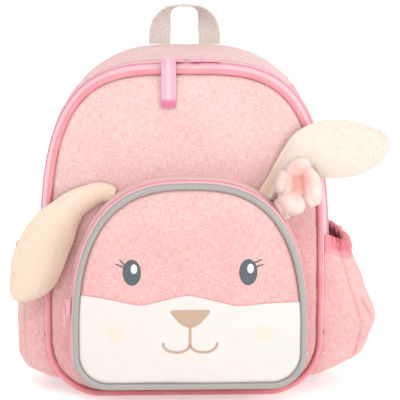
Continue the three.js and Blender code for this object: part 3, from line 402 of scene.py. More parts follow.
class Recipe:
    """One material's nodes, built on the principled shader."""

    def __init__(self, name, **sockets):
        self.material = bpy.data.materials.new(name)
        self.material.use_nodes = True
        self.tree = self.material.node_tree
        self.shader = self.tree.nodes["Principled BSDF"]
        for key, value in sockets.items():
            self.shader.inputs[key.replace("_", " ")].default_value = value

    def node(self, kind, inputs=None, **settings):
        made = self.tree.nodes.new(kind)
        for key, value in settings.items():
            setattr(made, key, value)
        for key, value in (inputs or {}).items():
            self.feed(made.inputs[key], value)
        return made

    def feed(self, socket, value):
        if isinstance(value, bpy.types.NodeSocket):
            self.tree.links.new(value, socket)
        else:
            socket.default_value = value

    def weave(self, scale):
        """Cloth coordinates, stretched by a scale for each direction."""
        source = self.node("ShaderNodeUVMap", uv_map="weave")
        inputs = {"Vector": source.outputs["UV"], "Scale": scale}
        return self.node("ShaderNodeMapping", inputs).outputs["Vector"]

    def place(self, scale):
        source = self.node("ShaderNodeTexCoord")
        inputs = {"Vector": source.outputs["Object"], "Scale": scale}
        return self.node("ShaderNodeMapping", inputs).outputs["Vector"]

    def noise(self, vector, scale=1.0, detail=2.0, roughness=0.5):
        inputs = {"Vector": vector, "Scale": scale, "Detail": detail, "Roughness": roughness}
        return self.node("ShaderNodeTexNoise", inputs).outputs["Fac"]

    def maths(self, operation, a, b=0.0):
        return self.node("ShaderNodeMath", {0: a, 1: b}, operation=operation).outputs[0]

    def span(self, value, low, high, to_low=0.0, to_high=1.0):
        inputs = {"Value": value, "From Min": low, "From Max": high, "To Min": to_low, "To Max": to_high}
        return self.node("ShaderNodeMapRange", inputs).outputs["Result"]

    def blend(self, factor, a, b):
        return self.node("ShaderNodeMix", {0: factor, 6: a, 7: b}, data_type="RGBA").outputs[2]

    def blend_values(self, factor, a, b):
        return self.node("ShaderNodeMix", {0: factor, 2: a, 3: b}, data_type="FLOAT").outputs[0]

    def threads(self, pitch):
        """The height of a plain weave of threads."""
        split = self.node("ShaderNodeSeparateXYZ", {0: self.weave((1, 1, 1))})
        pace = 2 * math.pi / pitch
        across = self.maths("SINE", self.maths("MULTIPLY", split.outputs[0], pace))
        along = self.maths("SINE", self.maths("MULTIPLY", split.outputs[1], pace))
        return self.maths("MULTIPLY", across, along)

    def ribs(self, pitch, axis):
        split = self.node("ShaderNodeSeparateXYZ", {0: self.weave((1, 1, 1))})
        return self.maths("SINE", self.maths("MULTIPLY", split.outputs[axis], 2 * math.pi / pitch))

    def bump(self, height, distance, strength=1.0):
        inputs = {"Height": height, "Distance": distance, "Strength": strength}
        normal = self.node("ShaderNodeBump", inputs).outputs["Normal"]
        self.feed(self.shader.inputs["Normal"], normal)

    def mottle(self, value, deep, pale, low=0.35, high=0.65):
        """A colour that runs from deep to pale as a value rises."""
        return self.blend(self.span(value, low, high), photo_colour(*deep), photo_colour(*pale))

    def colour(self, value):
        self.feed(self.shader.inputs["Base Color"], value)
        return self.material


def melange_finish():
    """Pink cloth of slubby yarns: fine streaks along and across, in soft patches, with greyish flecks, and
    painted shade that makes it deeper pink lower down.
    """
    sheen = {"Sheen_Weight": 0.2, "Sheen_Roughness": 0.5}
    recipe = Recipe("melange", Roughness=0.88, Specular_IOR_Level=0.25, **sheen)
    along = recipe.noise(recipe.weave((170, 1500, 1)), detail=2.0)
    across = recipe.noise(recipe.weave((1500, 170, 1)), detail=2.0)
    patch = recipe.span(recipe.noise(recipe.weave((120, 120, 1)), detail=1.0), 0.38, 0.62, 0.25, 0.75)
    streak = recipe.blend_values(patch, along, across)
    tone = recipe.noise(recipe.weave((24, 24, 1)), detail=3.0)
    share = recipe.maths("ADD", streak, recipe.span(tone, 0.35, 0.65, -0.025, 0.025))
    threads = recipe.threads(1.5 * MM)
    share = recipe.maths("ADD", share, recipe.span(threads, -1, 1, -0.03, 0.03))
    share = recipe.span(share, 0.38, 0.62)
    # Painted shade: a lit and a shaded copy of the cloth, blended by height so it is deeper pink below 205
    # mm and fully so under 140 mm
    lit_upper = recipe.blend(share, photo_colour(240, 186, 184), photo_colour(254, 223, 219))
    shaded_lower = recipe.blend(share, photo_colour(238, 170, 169), photo_colour(253, 209, 205))
    height = recipe.node("ShaderNodeSeparateXYZ", {0: recipe.place((1, 1, 1))}).outputs[2]
    cloth = recipe.blend(recipe.span(height, 140 * MM, 205 * MM), shaded_lower, lit_upper)
    fleck = recipe.span(recipe.noise(recipe.weave((700, 420, 1)), detail=1.0), 0.58, 0.72, 0.0, 0.26)
    cloth = recipe.blend(fleck, cloth, photo_colour(224, 190, 182))
    relief = recipe.maths("ADD", threads, recipe.span(streak, 0.3, 0.7, 0.0, 1.6))
    recipe.bump(relief, 0.14 * MM, 0.5)
    return recipe.colour(cloth)


def satin_finish():
    """Coral satin of the piping and the gathered hems."""
    recipe = Recipe("coral", Roughness=0.46, Sheen_Weight=0.2, Sheen_Roughness=0.4)
    tone = recipe.noise(recipe.weave((40, 90, 1)), detail=2.0)
    cloth = recipe.mottle(tone, (246, 146, 158), (255, 166, 176))
    recipe.bump(recipe.threads(0.62 * MM), 0.05 * MM, 0.4)
    return recipe.colour(cloth)


def tape_finish():
    """Zip tape: a light pink fine herringbone."""
    recipe = Recipe("zip_tape", Roughness=0.62, Sheen_Weight=0.2)
    ribs = recipe.ribs(1.1 * MM, 0)
    tone = recipe.noise(recipe.weave((300, 900, 1)), detail=1.0)
    cloth = recipe.mottle(tone, (252, 194, 205), (255, 210, 218))
    cloth = recipe.blend(recipe.span(ribs, -1, 1, 0.0, 0.18), cloth, photo_colour(248, 178, 190))
    recipe.bump(ribs, 0.12 * MM, 0.5)
    return recipe.colour(cloth)


def plastic_finish(name, deep, pale):
    """Pink moulded plastic of the zips' coils, sliders and pulls. The coils' deeper pink is painted shade
    along the zips' grooves.
    """
    recipe = Recipe(name, Roughness=0.34)
    tone = recipe.noise(recipe.place((900, 900, 900)), detail=1.0)
    paint = recipe.mottle(tone, deep, pale)
    recipe.bump(tone, 0.04 * MM, 0.3)
    return recipe.colour(paint)


def ribbon_finish():
    """Orchid pink grosgrain with a lighter middle."""
    recipe = Recipe("ribbon", Roughness=0.5, Sheen_Weight=0.25)
    split = recipe.node("ShaderNodeSeparateXYZ", {0: recipe.weave((1, 1, 1))})
    side = recipe.maths("ABSOLUTE", split.outputs[0])
    middle = recipe.span(side, 0.9 * MM, 2.6 * MM)
    ribs = recipe.ribs(0.9 * MM, 1)
    cloth = recipe.blend(middle, photo_colour(255, 214, 228), photo_colour(252, 188, 210))
    cloth = recipe.blend(recipe.span(ribs, -1, 1, 0.16, 0.0), cloth, photo_colour(240, 166, 194))
    end = recipe.span(split.outputs[1], RIBBON_LENGTH - 5 * MM, RIBBON_LENGTH - 2 * MM)
    cloth = recipe.blend(end, cloth, photo_colour(236, 128, 166))
    recipe.bump(ribs, 0.15 * MM, 0.6)
    return recipe.colour(cloth)


def reflective_finish():
    """Grey retro-reflective covering of the pocket's piping."""
    recipe = Recipe("reflective", Roughness=0.42, Metallic=0.25)
    grain = recipe.noise(recipe.weave((1400, 1400, 1)), detail=2.0)
    recipe.bump(grain, 0.05 * MM, 0.4)
    return recipe.colour(recipe.mottle(grain, (160, 157, 152), (196, 192, 187)))


def muzzle_finish():
    """Smooth cream coated cloth."""
    recipe = Recipe("muzzle", Roughness=0.55, Sheen_Weight=0.1)
    tone = recipe.noise(recipe.weave((60, 60, 1)), detail=3.0)
    grain = recipe.noise(recipe.weave((1500, 1500, 1)), detail=2.0)
    cloth = recipe.mottle(tone, (240, 231, 225), (243, 235, 229), 0.3, 0.7)
    recipe.bump(recipe.maths("ADD", grain, recipe.threads(0.7 * MM)), 0.04 * MM, 0.35)
    return recipe.colour(cloth)


def print_finish(name, dark, light, roughness):
    """A printed film, slightly mottled by the cloth under it."""
    recipe = Recipe(name, Roughness=roughness)
    mottle = recipe.noise(recipe.weave((1300, 1300, 1)), detail=2.0)
    recipe.bump(mottle, 0.05 * MM, 0.4)
    return recipe.colour(recipe.mottle(mottle, dark, light, 0.4, 0.62))


PLUSH_SURFACE = {
    "Roughness": 0.95,
    "Sheen_Weight": 0.3,
    "Sheen_Roughness": 0.5,
    "Specular_IOR_Level": 0.15,
}


def plush_finish(name, deep, pale):
    """Short fur in soft lines along its nap."""
    recipe = Recipe(name, **PLUSH_SURFACE)
    lines = recipe.noise(recipe.weave((420, 45, 1)), detail=2.0)
    broad = recipe.noise(recipe.place((30, 30, 30)), detail=2.0)
    lines_share = recipe.span(lines, 0.3, 0.7, 0.0, 0.6)
    share = recipe.maths("ADD", lines_share, recipe.span(broad, 0.3, 0.7, 0.0, 0.4))
    fur = recipe.blend(share, photo_colour(*deep), photo_colour(*pale))
    fine = recipe.noise(recipe.place((900, 900, 900)), detail=2.0)
    recipe.bump(recipe.maths("ADD", lines, fine), 0.2 * MM, 0.3)
    return recipe.colour(fur)


def petal_finish():
    """The flower's plush: pale blush, with painted shade that deepens it to salmon towards its middle."""
    recipe = Recipe("petal", **PLUSH_SURFACE)
    spot = recipe.place((1, 1, 1))
    # Painted shade: the plush deepens to salmon near this point, a little above the flower's middle, where
    # the petals overlap
    shade_heart = (FLOWER_HEART[0], FLOWER_HEART[1], FLOWER_HEART[2] + 4 * MM)
    away = recipe.node("ShaderNodeVectorMath", {0: spot, 1: shade_heart}, operation="DISTANCE").outputs["Value"]
    broad = recipe.noise(recipe.place((70, 70, 70)), detail=2.0)
    reach = recipe.maths("ADD", away, recipe.span(broad, 0.3, 0.7, -3 * MM, 3 * MM))
    fur = recipe.mottle(reach, (244, 176, 166), (255, 230, 221), 8 * MM, 18 * MM)
    fine = recipe.noise(recipe.place((900, 900, 900)), detail=2.0)
    recipe.bump(fine, 0.2 * MM, 0.3)
    return recipe.colour(fur)


def webbing_finish():
    """Cream woven webbing with ribs across it."""
    recipe = Recipe("webbing", Roughness=0.8, Sheen_Weight=0.25)
    ribs = recipe.ribs(1.7 * MM, 1)
    cords = recipe.ribs(2.1 * MM, 0)
    tone = recipe.noise(recipe.weave((500, 500, 1)), detail=1.0)
    cloth = recipe.mottle(tone, (232, 220, 208), (246, 238, 230))
    cloth = recipe.blend(recipe.span(ribs, -1, 1, 0.28, 0.0), cloth, photo_colour(214, 200, 186))
    recipe.bump(recipe.maths("ADD", ribs, cords), 0.22 * MM, 0.6)
    return recipe.colour(cloth)


finishes = {
    "melange": melange_finish(),
    "coral": satin_finish(),
    "zip_tape": tape_finish(),
    "zip_plastic": plastic_finish("zip_plastic", (250, 180, 193), (255, 198, 208)),
    # The coils' deeper pink is painted shade of the zips' closed grooves
    "shaded_coil": plastic_finish("shaded_coil", (232, 138, 156), (246, 164, 180)),
    "ribbon": ribbon_finish(),
    "reflective": reflective_finish(),
    "muzzle": muzzle_finish(),
    "eye": print_finish("eye", (80, 88, 94), (98, 107, 113), 0.5),
    "glint": print_finish("glint", (250, 250, 250), (255, 255, 255), 0.45),
    "tan": print_finish("tan", (200, 168, 144), (208, 178, 154), 0.6),
    "cheek": print_finish("cheek", (248, 230, 213), (249, 233, 217), 0.7),
    "plush": plush_finish("plush", (254, 226, 201), (255, 236, 217)),
    "lining": plush_finish("lining", (250, 232, 216), (253, 239, 227)),
    "petal": petal_finish(),
    "webbing": webbing_finish(),
    "buckle": print_finish("buckle", (238, 220, 214), (243, 227, 221), 0.4),
}


# Walls of the bag and its pocket

# The depth, spacing and seed of a cloth's ripples, for a cloth without any
SMOOTH = (0.0, 1.0, 0)


def wall_points(shape_at, places, depths, distance):
    """Points on the wall round a bag or pocket, a distance inside its outline."""
    x, z = inset(shape_at(depths), places, distance)
    return np.stack([x, depths + 0 * x, z], axis=-1)


def seam_roll(share, length, depth=0.9 * MM, reach=1.6 * MM):
    """How far cloth turns in at the two seams along its edges."""
    edge = np.minimum(share, 1 - share) * length
    return depth * np.exp(-((edge / reach) ** 2))


def band_piece(
    name, nodes, finish, shape_at, span, near, far, columns, rows, thickness, ripples=SMOOTH
):
    """Cloth round the wall between two places and two depths, which may differ from place to place."""
    places, lengths = even_places(shape_at(Y_FRONT), span[0], span[1], columns)
    near_y = near(places) if callable(near) else np.full(columns, near)
    far_y = far(places) if callable(far) else np.full(columns, far)
    share = np.linspace(0, 1, rows)[:, None]
    depths = mix(near_y[None], far_y[None], share)
    size, spacing, seed = ripples
    fade = 4 * share * (1 - share)
    wave = size * ripple(lengths[None] + 0 * depths, depths, seed, spacing) * fade
    width = float(np.mean(far_y - near_y))
    roll = seam_roll(share, width) + seam_roll(np.linspace(0, 1, columns)[None], lengths[-1])
    outer = wall_points(shape_at, places[None] + 0 * depths, depths, roll - wave)
    inner = wall_points(shape_at, places[None] + 0 * depths, depths, roll - wave + thickness)
    weave = np.stack([depths, lengths[None] + 0 * depths], axis=-1)
    piece = add_piece(name, sheet_mesh(name, outer, inner, weave), finish, nodes)


def panel_grid(shape, rim_inset, rings, columns):
    """A grid of rings from the middle of an outline to its rim, and each point's distance to the rim."""
    places, _ = even_places(shape, 0, FULL_TURN, columns + 1)
    rim_x, rim_z = inset(shape, places[:-1], rim_inset)
    share = 1 - (1 - np.linspace(0, 1, rings)[:, None]) ** 1.6
    middle_z = (shape.top + shape.bottom) / 2
    x = mix(shape.centre, rim_x[None], share)
    z = mix(middle_z, rim_z[None], share)
    rim_distance = np.hypot(rim_x - shape.centre, rim_z - middle_z)[None] * (1 - share)
    return x, z, rim_distance


def add_front():
    x, z, rim = panel_grid(front_shape, 2 * FRONT_PIPING - 0.9 * MM, 50, 300)
    tuck_depth = 3.0 * MM
    tuck_reach = 2.3 * MM
    pucker_depth = 0.45 * MM
    pucker_reach = 14 * MM
    dent_depth = 0.8 * MM
    dent_start = 30 * MM
    tuck = tuck_depth * np.exp(-((rim / tuck_reach) ** 2))
    pucker = pucker_depth * ripple(x, z, 3, 16 * MM) * np.exp(-rim / pucker_reach)
    dents = dent_depth * ripple(x, z, 5, 95 * MM) * ease(rim / dent_start)
    y = front_y(x, z) + tuck + pucker + dents
    outer = np.stack([x, y, z], axis=-1)
    inner = outer + [0, CLOTH, 0]
    mesh = sheet_mesh("front_cloth", outer, inner, np.stack([x, z], axis=-1), wrap=True, disc=True)
    piece = add_piece("front_cloth", mesh, "melange", ["front_panel"])


def add_front_piping():
    columns = 720
    places, lengths = even_places(front_shape, 0, FULL_TURN, columns + 1)
    x, z = inset(front_shape, places[:-1], FRONT_PIPING)
    spots = lengths[:-1]
    wobble = 0.18 * MM * ripple(spots, 0 * spots, 8, 60 * MM)
    centres = np.stack([x, Y_FRONT + wobble, z], axis=-1)
    radius = FRONT_PIPING * (1 + 0.03 * ripple(spots, 0 * spots, 9, 22 * MM))
    mesh = tube_mesh("front_cord", centres, radius, 20, True)
    add_piece("front_cord", mesh, "coral", ["front_piping"])


def add_body_walls():
    near = Y_FRONT + FRONT_PIPING * 0.5
    rear = Y_TAPE_REAR - SEAM_LAP
    far = Y_BACK + 0.6 * MM
    ripples = (0.9 * MM, 45 * MM, 21)
    top = (GORE_HIGH, FULL_TURN - GORE_HIGH)
    band_piece(
        "top_cloth", ["top_gusset"], "melange", body_shape, top, rear, far, 100, 40, CLOTH,
        ripples)
    for side, turn in (("right", lambda place: place), ("left", lambda place: FULL_TURN - place)):
        gore = sorted((turn(GORE_LOW), turn(GORE_HIGH)))
        low = sorted((turn(MAIN_ZIP_END), turn(GORE_LOW)))
        seed = 22 if side == "right" else 23
        band_piece(
            f"gore_cloth_{side}", [f"corner_gore_{side}"], "coral", body_shape, gore, rear, far, 12, 40,
            CLOTH)
        band_piece(
            f"side_cloth_{side}", [f"side_gusset_{side}"], "melange", body_shape, low, rear, far, 100, 40,
            CLOTH, (1.0 * MM, 60 * MM, seed))
    base = (-MAIN_ZIP_END, MAIN_ZIP_END)
    band_piece(
        "base_cloth", ["base_panel"], "melange", body_shape, base, near, far, 160, 40, CLOTH)


def add_main_zip():
    near = Y_FRONT + FRONT_PIPING * 0.5
    span = (MAIN_ZIP_END, FULL_TURN - MAIN_ZIP_END)
    middle_y = Y_FRONT + FRONT_PIPING + GAP + (Y_TAPE_REAR - Y_FRONT - FRONT_PIPING - GAP) / 2
    coil_width = 4.5 * MM
    seam_depth = 0.3 * MM
    seam_radius = 0.4 * MM
    band_piece(
        "main_tape", ["main_zip_tape"], "zip_tape", body_shape, span, near, Y_TAPE_REAR, 360, 16,
        TAPE)

    def middle(places):
        return middle_y + 0 * places

    coil_piece("main_coil", ["main_zip_teeth"], body_shape, span, middle, coil_width)
    places, _ = even_places(body_shape(Y_TAPE_REAR), span[0], span[1], 400)
    x, z = inset(body_shape(Y_TAPE_REAR), places, seam_depth)
    centres = np.stack([x, np.full(len(x), Y_TAPE_REAR), z], axis=-1)
    add_piece("tape_seam", tube_mesh("tape_seam", centres, seam_radius, 8, False), "zip_tape")


def coil_piece(name, nodes, shape_at, span, middle_at, width):
    """The two lips of tape over a zip's hidden coil, whose fine ridges show through."""
    pitch = 1.6 * MM
    height = 0.9 * MM
    steps_each = 4
    groove = 0.15 * MM
    backing = 0.5 * MM
    length = even_places(shape_at(Y_FRONT), span[0], span[1], 2)[1][-1]
    columns = int(length / pitch) * steps_each + 1
    places, lengths = even_places(shape_at(Y_FRONT), span[0], span[1], columns)
    side = np.linspace(-1, 1, 9)[:, None]
    phase = np.where(side > 0, 0.0, 0.5)
    ridge = 0.9 + 0.1 * np.cos(2 * math.pi * (lengths[None] / pitch + phase))
    lobe = np.sqrt(np.clip(1 - (2 * np.abs(side) - 1) ** 2, 0, 1))
    rise = height * lobe * ridge - groove * (np.abs(side) < 0.01)
    depths = middle_at(places)[None] + side * width / 2
    outer = wall_points(shape_at, places[None] + 0 * depths, depths, -rise)
    inner = wall_points(shape_at, places[None] + 0 * depths, depths, 0 * rise + backing)
    weave = np.stack([depths, lengths[None] + 0 * depths], axis=-1)
    # Its deeper pink finish is painted shade along the zip's groove
    add_piece(name, sheet_mesh(name, outer, inner, weave), "shaded_coil", nodes)


def add_back():
    shape = body_shape(Y_REAR)
    x, z, rim = panel_grid(shape, 1.2 * MM, 32, 200)
    edge_depth = 1.6 * MM
    edge_reach = 4 * MM
    first_channel = 20 * MM
    channel_spacing = 46 * MM
    channel_reach = 3 * MM
    channel_depth = 1.3 * MM
    channel_end = 12 * MM
    edge = np.exp(-((rim / edge_reach) ** 2))
    off_channel = np.mod(z - first_channel + channel_spacing / 2, channel_spacing) - channel_spacing / 2
    channel = np.exp(-((off_channel / channel_reach) ** 2))
    inside = ease((rim - channel_end) / (8 * MM))
    y = Y_REAR - edge_depth * edge - channel_depth * channel * inside
    outer = np.stack([x, y, z], axis=-1)
    inner = np.stack([x, Y_BACK + 0 * y, z], axis=-1)
    mesh = sheet_mesh("back_cloth", outer, inner, np.stack([x, z], axis=-1), wrap=True, disc=True)
    piece = add_piece("back_cloth", mesh, "melange", ["back_panel"])


def pocket_piping_y(places):
    x, z = inset(face_shape, places, POCKET_PIPING)
    return face_y(x, z) + CLOTH / 2


def pocket_seat_y(places):
    x, z = outline(pocket_shape(Y_FRONT), places)
    return front_y(x, z) + 0.4 * MM


def add_pocket():
    x, z, rim = panel_grid(face_shape, 2 * POCKET_PIPING - 0.8 * MM, 44, 260)
    tuck = POCKET_TUCK * np.exp(-((rim / POCKET_TUCK_REACH) ** 2))
    y = face_cloth_y(x, z) + tuck
    outer = np.stack([x, y, z], axis=-1)
    weave = np.stack([x, z], axis=-1)
    mesh = sheet_mesh("face_cloth", outer, outer + [0, CLOTH, 0], weave, wrap=True, disc=True)
    piece = add_piece("face_cloth", mesh, "melange", ["face_panel"])

    columns = 640
    places, lengths = even_places(face_shape, 0, FULL_TURN, columns + 1)
    places = places[:-1]
    spots = lengths[:-1]
    x, z = inset(face_shape, places, POCKET_PIPING)
    centres = np.stack([x, pocket_piping_y(places), z], axis=-1)
    radius = POCKET_PIPING * (1 + 0.02 * ripple(spots, 0 * spots, 31, 25 * MM))
    mesh = tube_mesh("grey_cord", centres, radius, 18, True)
    add_piece("grey_cord", mesh, "reflective", ["reflective_piping"])

    def near(places):
        return pocket_piping_y(places) + POCKET_PIPING * 0.5

    def tape_far(places):
        return pocket_piping_y(places) + POCKET_PIPING + GAP + POCKET_TAPE_WIDTH

    def middle(places):
        return tape_far(places) - POCKET_TAPE_WIDTH / 2

    zip_span = (POCKET_ZIP_RIGHT, POCKET_ZIP_LEFT)
    coil_width = 3.4 * MM
    band_piece(
        "pocket_tape", ["pocket_zip_tape"], "zip_tape", pocket_shape, zip_span, near, tape_far, 280, 12,
        TAPE)
    coil_piece("pocket_coil", ["pocket_zip_teeth"], pocket_shape, zip_span, middle, coil_width)
    gusset = (0.6 * MM, 35 * MM, 33)
    band_piece(
        "pocket_wall", ["pocket_gusset"], "melange", pocket_shape, zip_span, tape_far, pocket_seat_y,
        260, 24, CLOTH, gusset)
    base_span = (POCKET_ZIP_LEFT - FULL_TURN, POCKET_ZIP_RIGHT)
    band_piece(
        "pocket_floor", ["pocket_base"], "melange", pocket_shape, base_span, near, pocket_seat_y, 200, 30,
        CLOTH, gusset)


# Prints on the face: thin films that follow its crown

MUZZLE_LEVEL = 90 * MM
MUZZLE_WAVE = 8 * MM
MUZZLE_LIFT = 0.45 * MM
EYE_WIDTH = 15.2 * MM
EYE_HEIGHT = 22 * MM
EYE_SPACING = 96.8 * MM
EYE_LEVEL = 117 * MM
GLINT_WIDTH = 5.4 * MM
GLINT_HEIGHT = 8 * MM
GLINT_ACROSS = 1.8 * MM
GLINT_UP = 3.1 * MM
LASH_WIDTH = 1.3 * MM
NOSE_WIDTH = 35 * MM
NOSE_HEIGHT = 15.3 * MM
NOSE_TOP = 85.4 * MM
NOSE_CORNER = 4.5 * MM
NOSE_TAPER = 7 * MM
MOUTH_WIDTH = 45 * MM
MOUTH_DROP = 14.2 * MM
MOUTH_CURL = 7.2 * MM
MOUTH_STROKE = 2 * MM
CHEEK_WIDTH = 16 * MM
CHEEK_HEIGHT = 14.4 * MM
CHEEK_LEVEL = 65 * MM
CHEEK_INSET = 36.75 * MM

# Where each lash starts and ends, from the middle of its eye
Lash = namedtuple("Lash", "side root_x root_z tip_x tip_z")
lashes = [
    Lash("left", -5.6 * MM, 5.6 * MM, -10.2 * MM, 10.9 * MM),
    Lash("left", -6.2 * MM, 3.9 * MM, -13.5 * MM, 7.2 * MM),
    Lash("right", 4.6 * MM, 7.2 * MM, 11.6 * MM, 10.4 * MM),
    Lash("right", 6.6 * MM, 4.2 * MM, 12.9 * MM, 6.2 * MM),
]

Knot = namedtuple("Knot", "across rise")
muzzle_edge = [
    Knot(-1.2, 1),
    Knot(-0.94, 0.95),
    Knot(-0.7, 0.55),
    Knot(-0.43, -0.05),
    Knot(-0.22, 0.45),
    Knot(-0.02, 0.92),
    Knot(0.19, 0.4),
    Knot(0.4, -0.18),
    Knot(0.65, 0),
    Knot(0.94, 0.08),
    Knot(1.2, 0.1),
]


def muzzle_height(x):
    share = np.linspace(0, 1, 400)
    across = FACE_CENTRE + along_rows(muzzle_edge, share, "across") * FACE_HALF
    height = MUZZLE_LEVEL + along_rows(muzzle_edge, share, "rise") * MUZZLE_WAVE
    return np.interp(x, across, height)


def add_muzzle():
    rim_inset = 2 * POCKET_PIPING - 0.8 * MM
    fine = np.linspace(2, 4, 800)
    x, z = inset(face_shape, fine, rim_inset)
    right_end = fine[np.argmin(np.abs(z - muzzle_height(x)))]
    x, z = inset(face_shape, FULL_TURN - fine, rim_inset)
    left_end = FULL_TURN - fine[np.argmin(np.abs(z - muzzle_height(x)))]
    columns = 220
    rows = 44
    places, _ = even_places(face_shape, left_end - FULL_TURN, right_end, columns)
    low_x, low_z = inset(face_shape, places, rim_inset)
    high_x = np.linspace(low_x[0], low_x[-1], columns)
    high_z = muzzle_height(high_x)
    share = np.linspace(0, 1, rows)[:, None] ** 1.4
    x = mix(low_x[None], high_x[None], share)
    z = mix(low_z[None], high_z[None], share)
    rim = np.hypot(x - low_x[None], z - low_z[None])
    tuck = POCKET_TUCK * np.exp(-((rim / POCKET_TUCK_REACH) ** 2))
    hem = np.hypot(x - high_x[None], z - high_z[None])
    turn_in = 0.3 * MM * np.exp(-((hem / (0.8 * MM)) ** 2))
    base = face_cloth_y(x, z) + tuck
    outer = np.stack([x, base - MUZZLE_LIFT + turn_in, z], axis=-1)
    inner = np.stack([x, base - 0.05 * MM, z], axis=-1)
    mesh = sheet_mesh("muzzle_cloth", outer, inner, np.stack([x, z], axis=-1))
    piece = add_piece("muzzle_cloth", mesh, "muzzle", ["muzzle_panel"])
    short_of_ends = slice(3, -3)
    seam_offset = 0.35 * MM
    seam_radius = 0.17 * MM
    line_x = high_x[short_of_ends]
    line_z = high_z[short_of_ends]
    line = np.stack([line_x, face_cloth_y(line_x, line_z) - seam_offset, line_z + seam_offset], axis=-1)
    mesh = tube_mesh("muzzle_seam", line, seam_radius, 8, False)
    add_piece("muzzle_seam", mesh, "coral")


def film_piece(name, loop, lift, finish, nodes=()):
    """A printed shape: a disc from the loop's middle out to the loop, given as x and z."""
    middle = loop.mean(axis=0)
    share = np.linspace(0, 1, 7)[:, None, None]
    flat = mix(middle, loop[None], share)
    x = flat[..., 0]
    z = flat[..., 1]
    base = face_cloth_y(x, z) - lift
    rise = PRINT * (1 - 0.7 * share[..., 0] ** 8)
    outer = np.stack([x, base - rise, z], axis=-1)
    inner = np.stack([x, base, z], axis=-1)
    mesh = sheet_mesh(name, outer, inner, np.stack([x, z], axis=-1), wrap=True, disc=True)
    return add_piece(name, mesh, finish, nodes)


def ellipse_loop(x, z, width, height):
    angle = np.linspace(0, 2 * math.pi, 64, endpoint=False)
    return np.stack([x + np.cos(angle) * width / 2, z + np.sin(angle) * height / 2], axis=-1)


def points_along(line, lengths, spots):
    """Points at given distances along a line."""
    return np.stack([np.interp(spots, lengths, values) for values in line.T], axis=-1)


def stroke_piece(name, points, width, taper, lift, finish, nodes=()):
    """A printed line with round ends. Taper is how much thinner it gets towards its far end."""
    length = grid_lengths(points, 0)
    spots = length[-1] * (0.5 - 0.5 * np.cos(np.linspace(0, math.pi, 48)))
    line = points_along(points, length, spots)
    along = unit(np.gradient(line, axis=0))
    across = np.stack([-along[:, 1], along[:, 0]], axis=-1)
    half = width / 2 * (1 - taper * spots / length[-1])
    end = np.minimum(spots, length[-1] - spots)
    round_end = np.sqrt(np.clip(1 - (1 - np.clip(end / half, 0, 1)) ** 2, 0, 1))
    side = np.linspace(-1, 1, 5)
    flat = line[:, None] + across[:, None] * (side[None, :, None] * (half * round_end)[:, None, None])
    x = flat[..., 0]
    z = flat[..., 1]
    base = face_cloth_y(x, z) - lift
    outer = np.stack([x, base - PRINT, z], axis=-1)
    inner = np.stack([x, base, z], axis=-1)
    mesh = sheet_mesh(name, outer, inner, np.stack([x, z], axis=-1))
    return add_piece(name, mesh, finish, nodes)


def curve_points(start, control, end, count=16):
    t = np.linspace(0, 1, count)[:, None]
    return (1 - t) ** 2 * np.array(start) + 2 * t * (1 - t) * np.array(control) + t**2 * np.array(end)


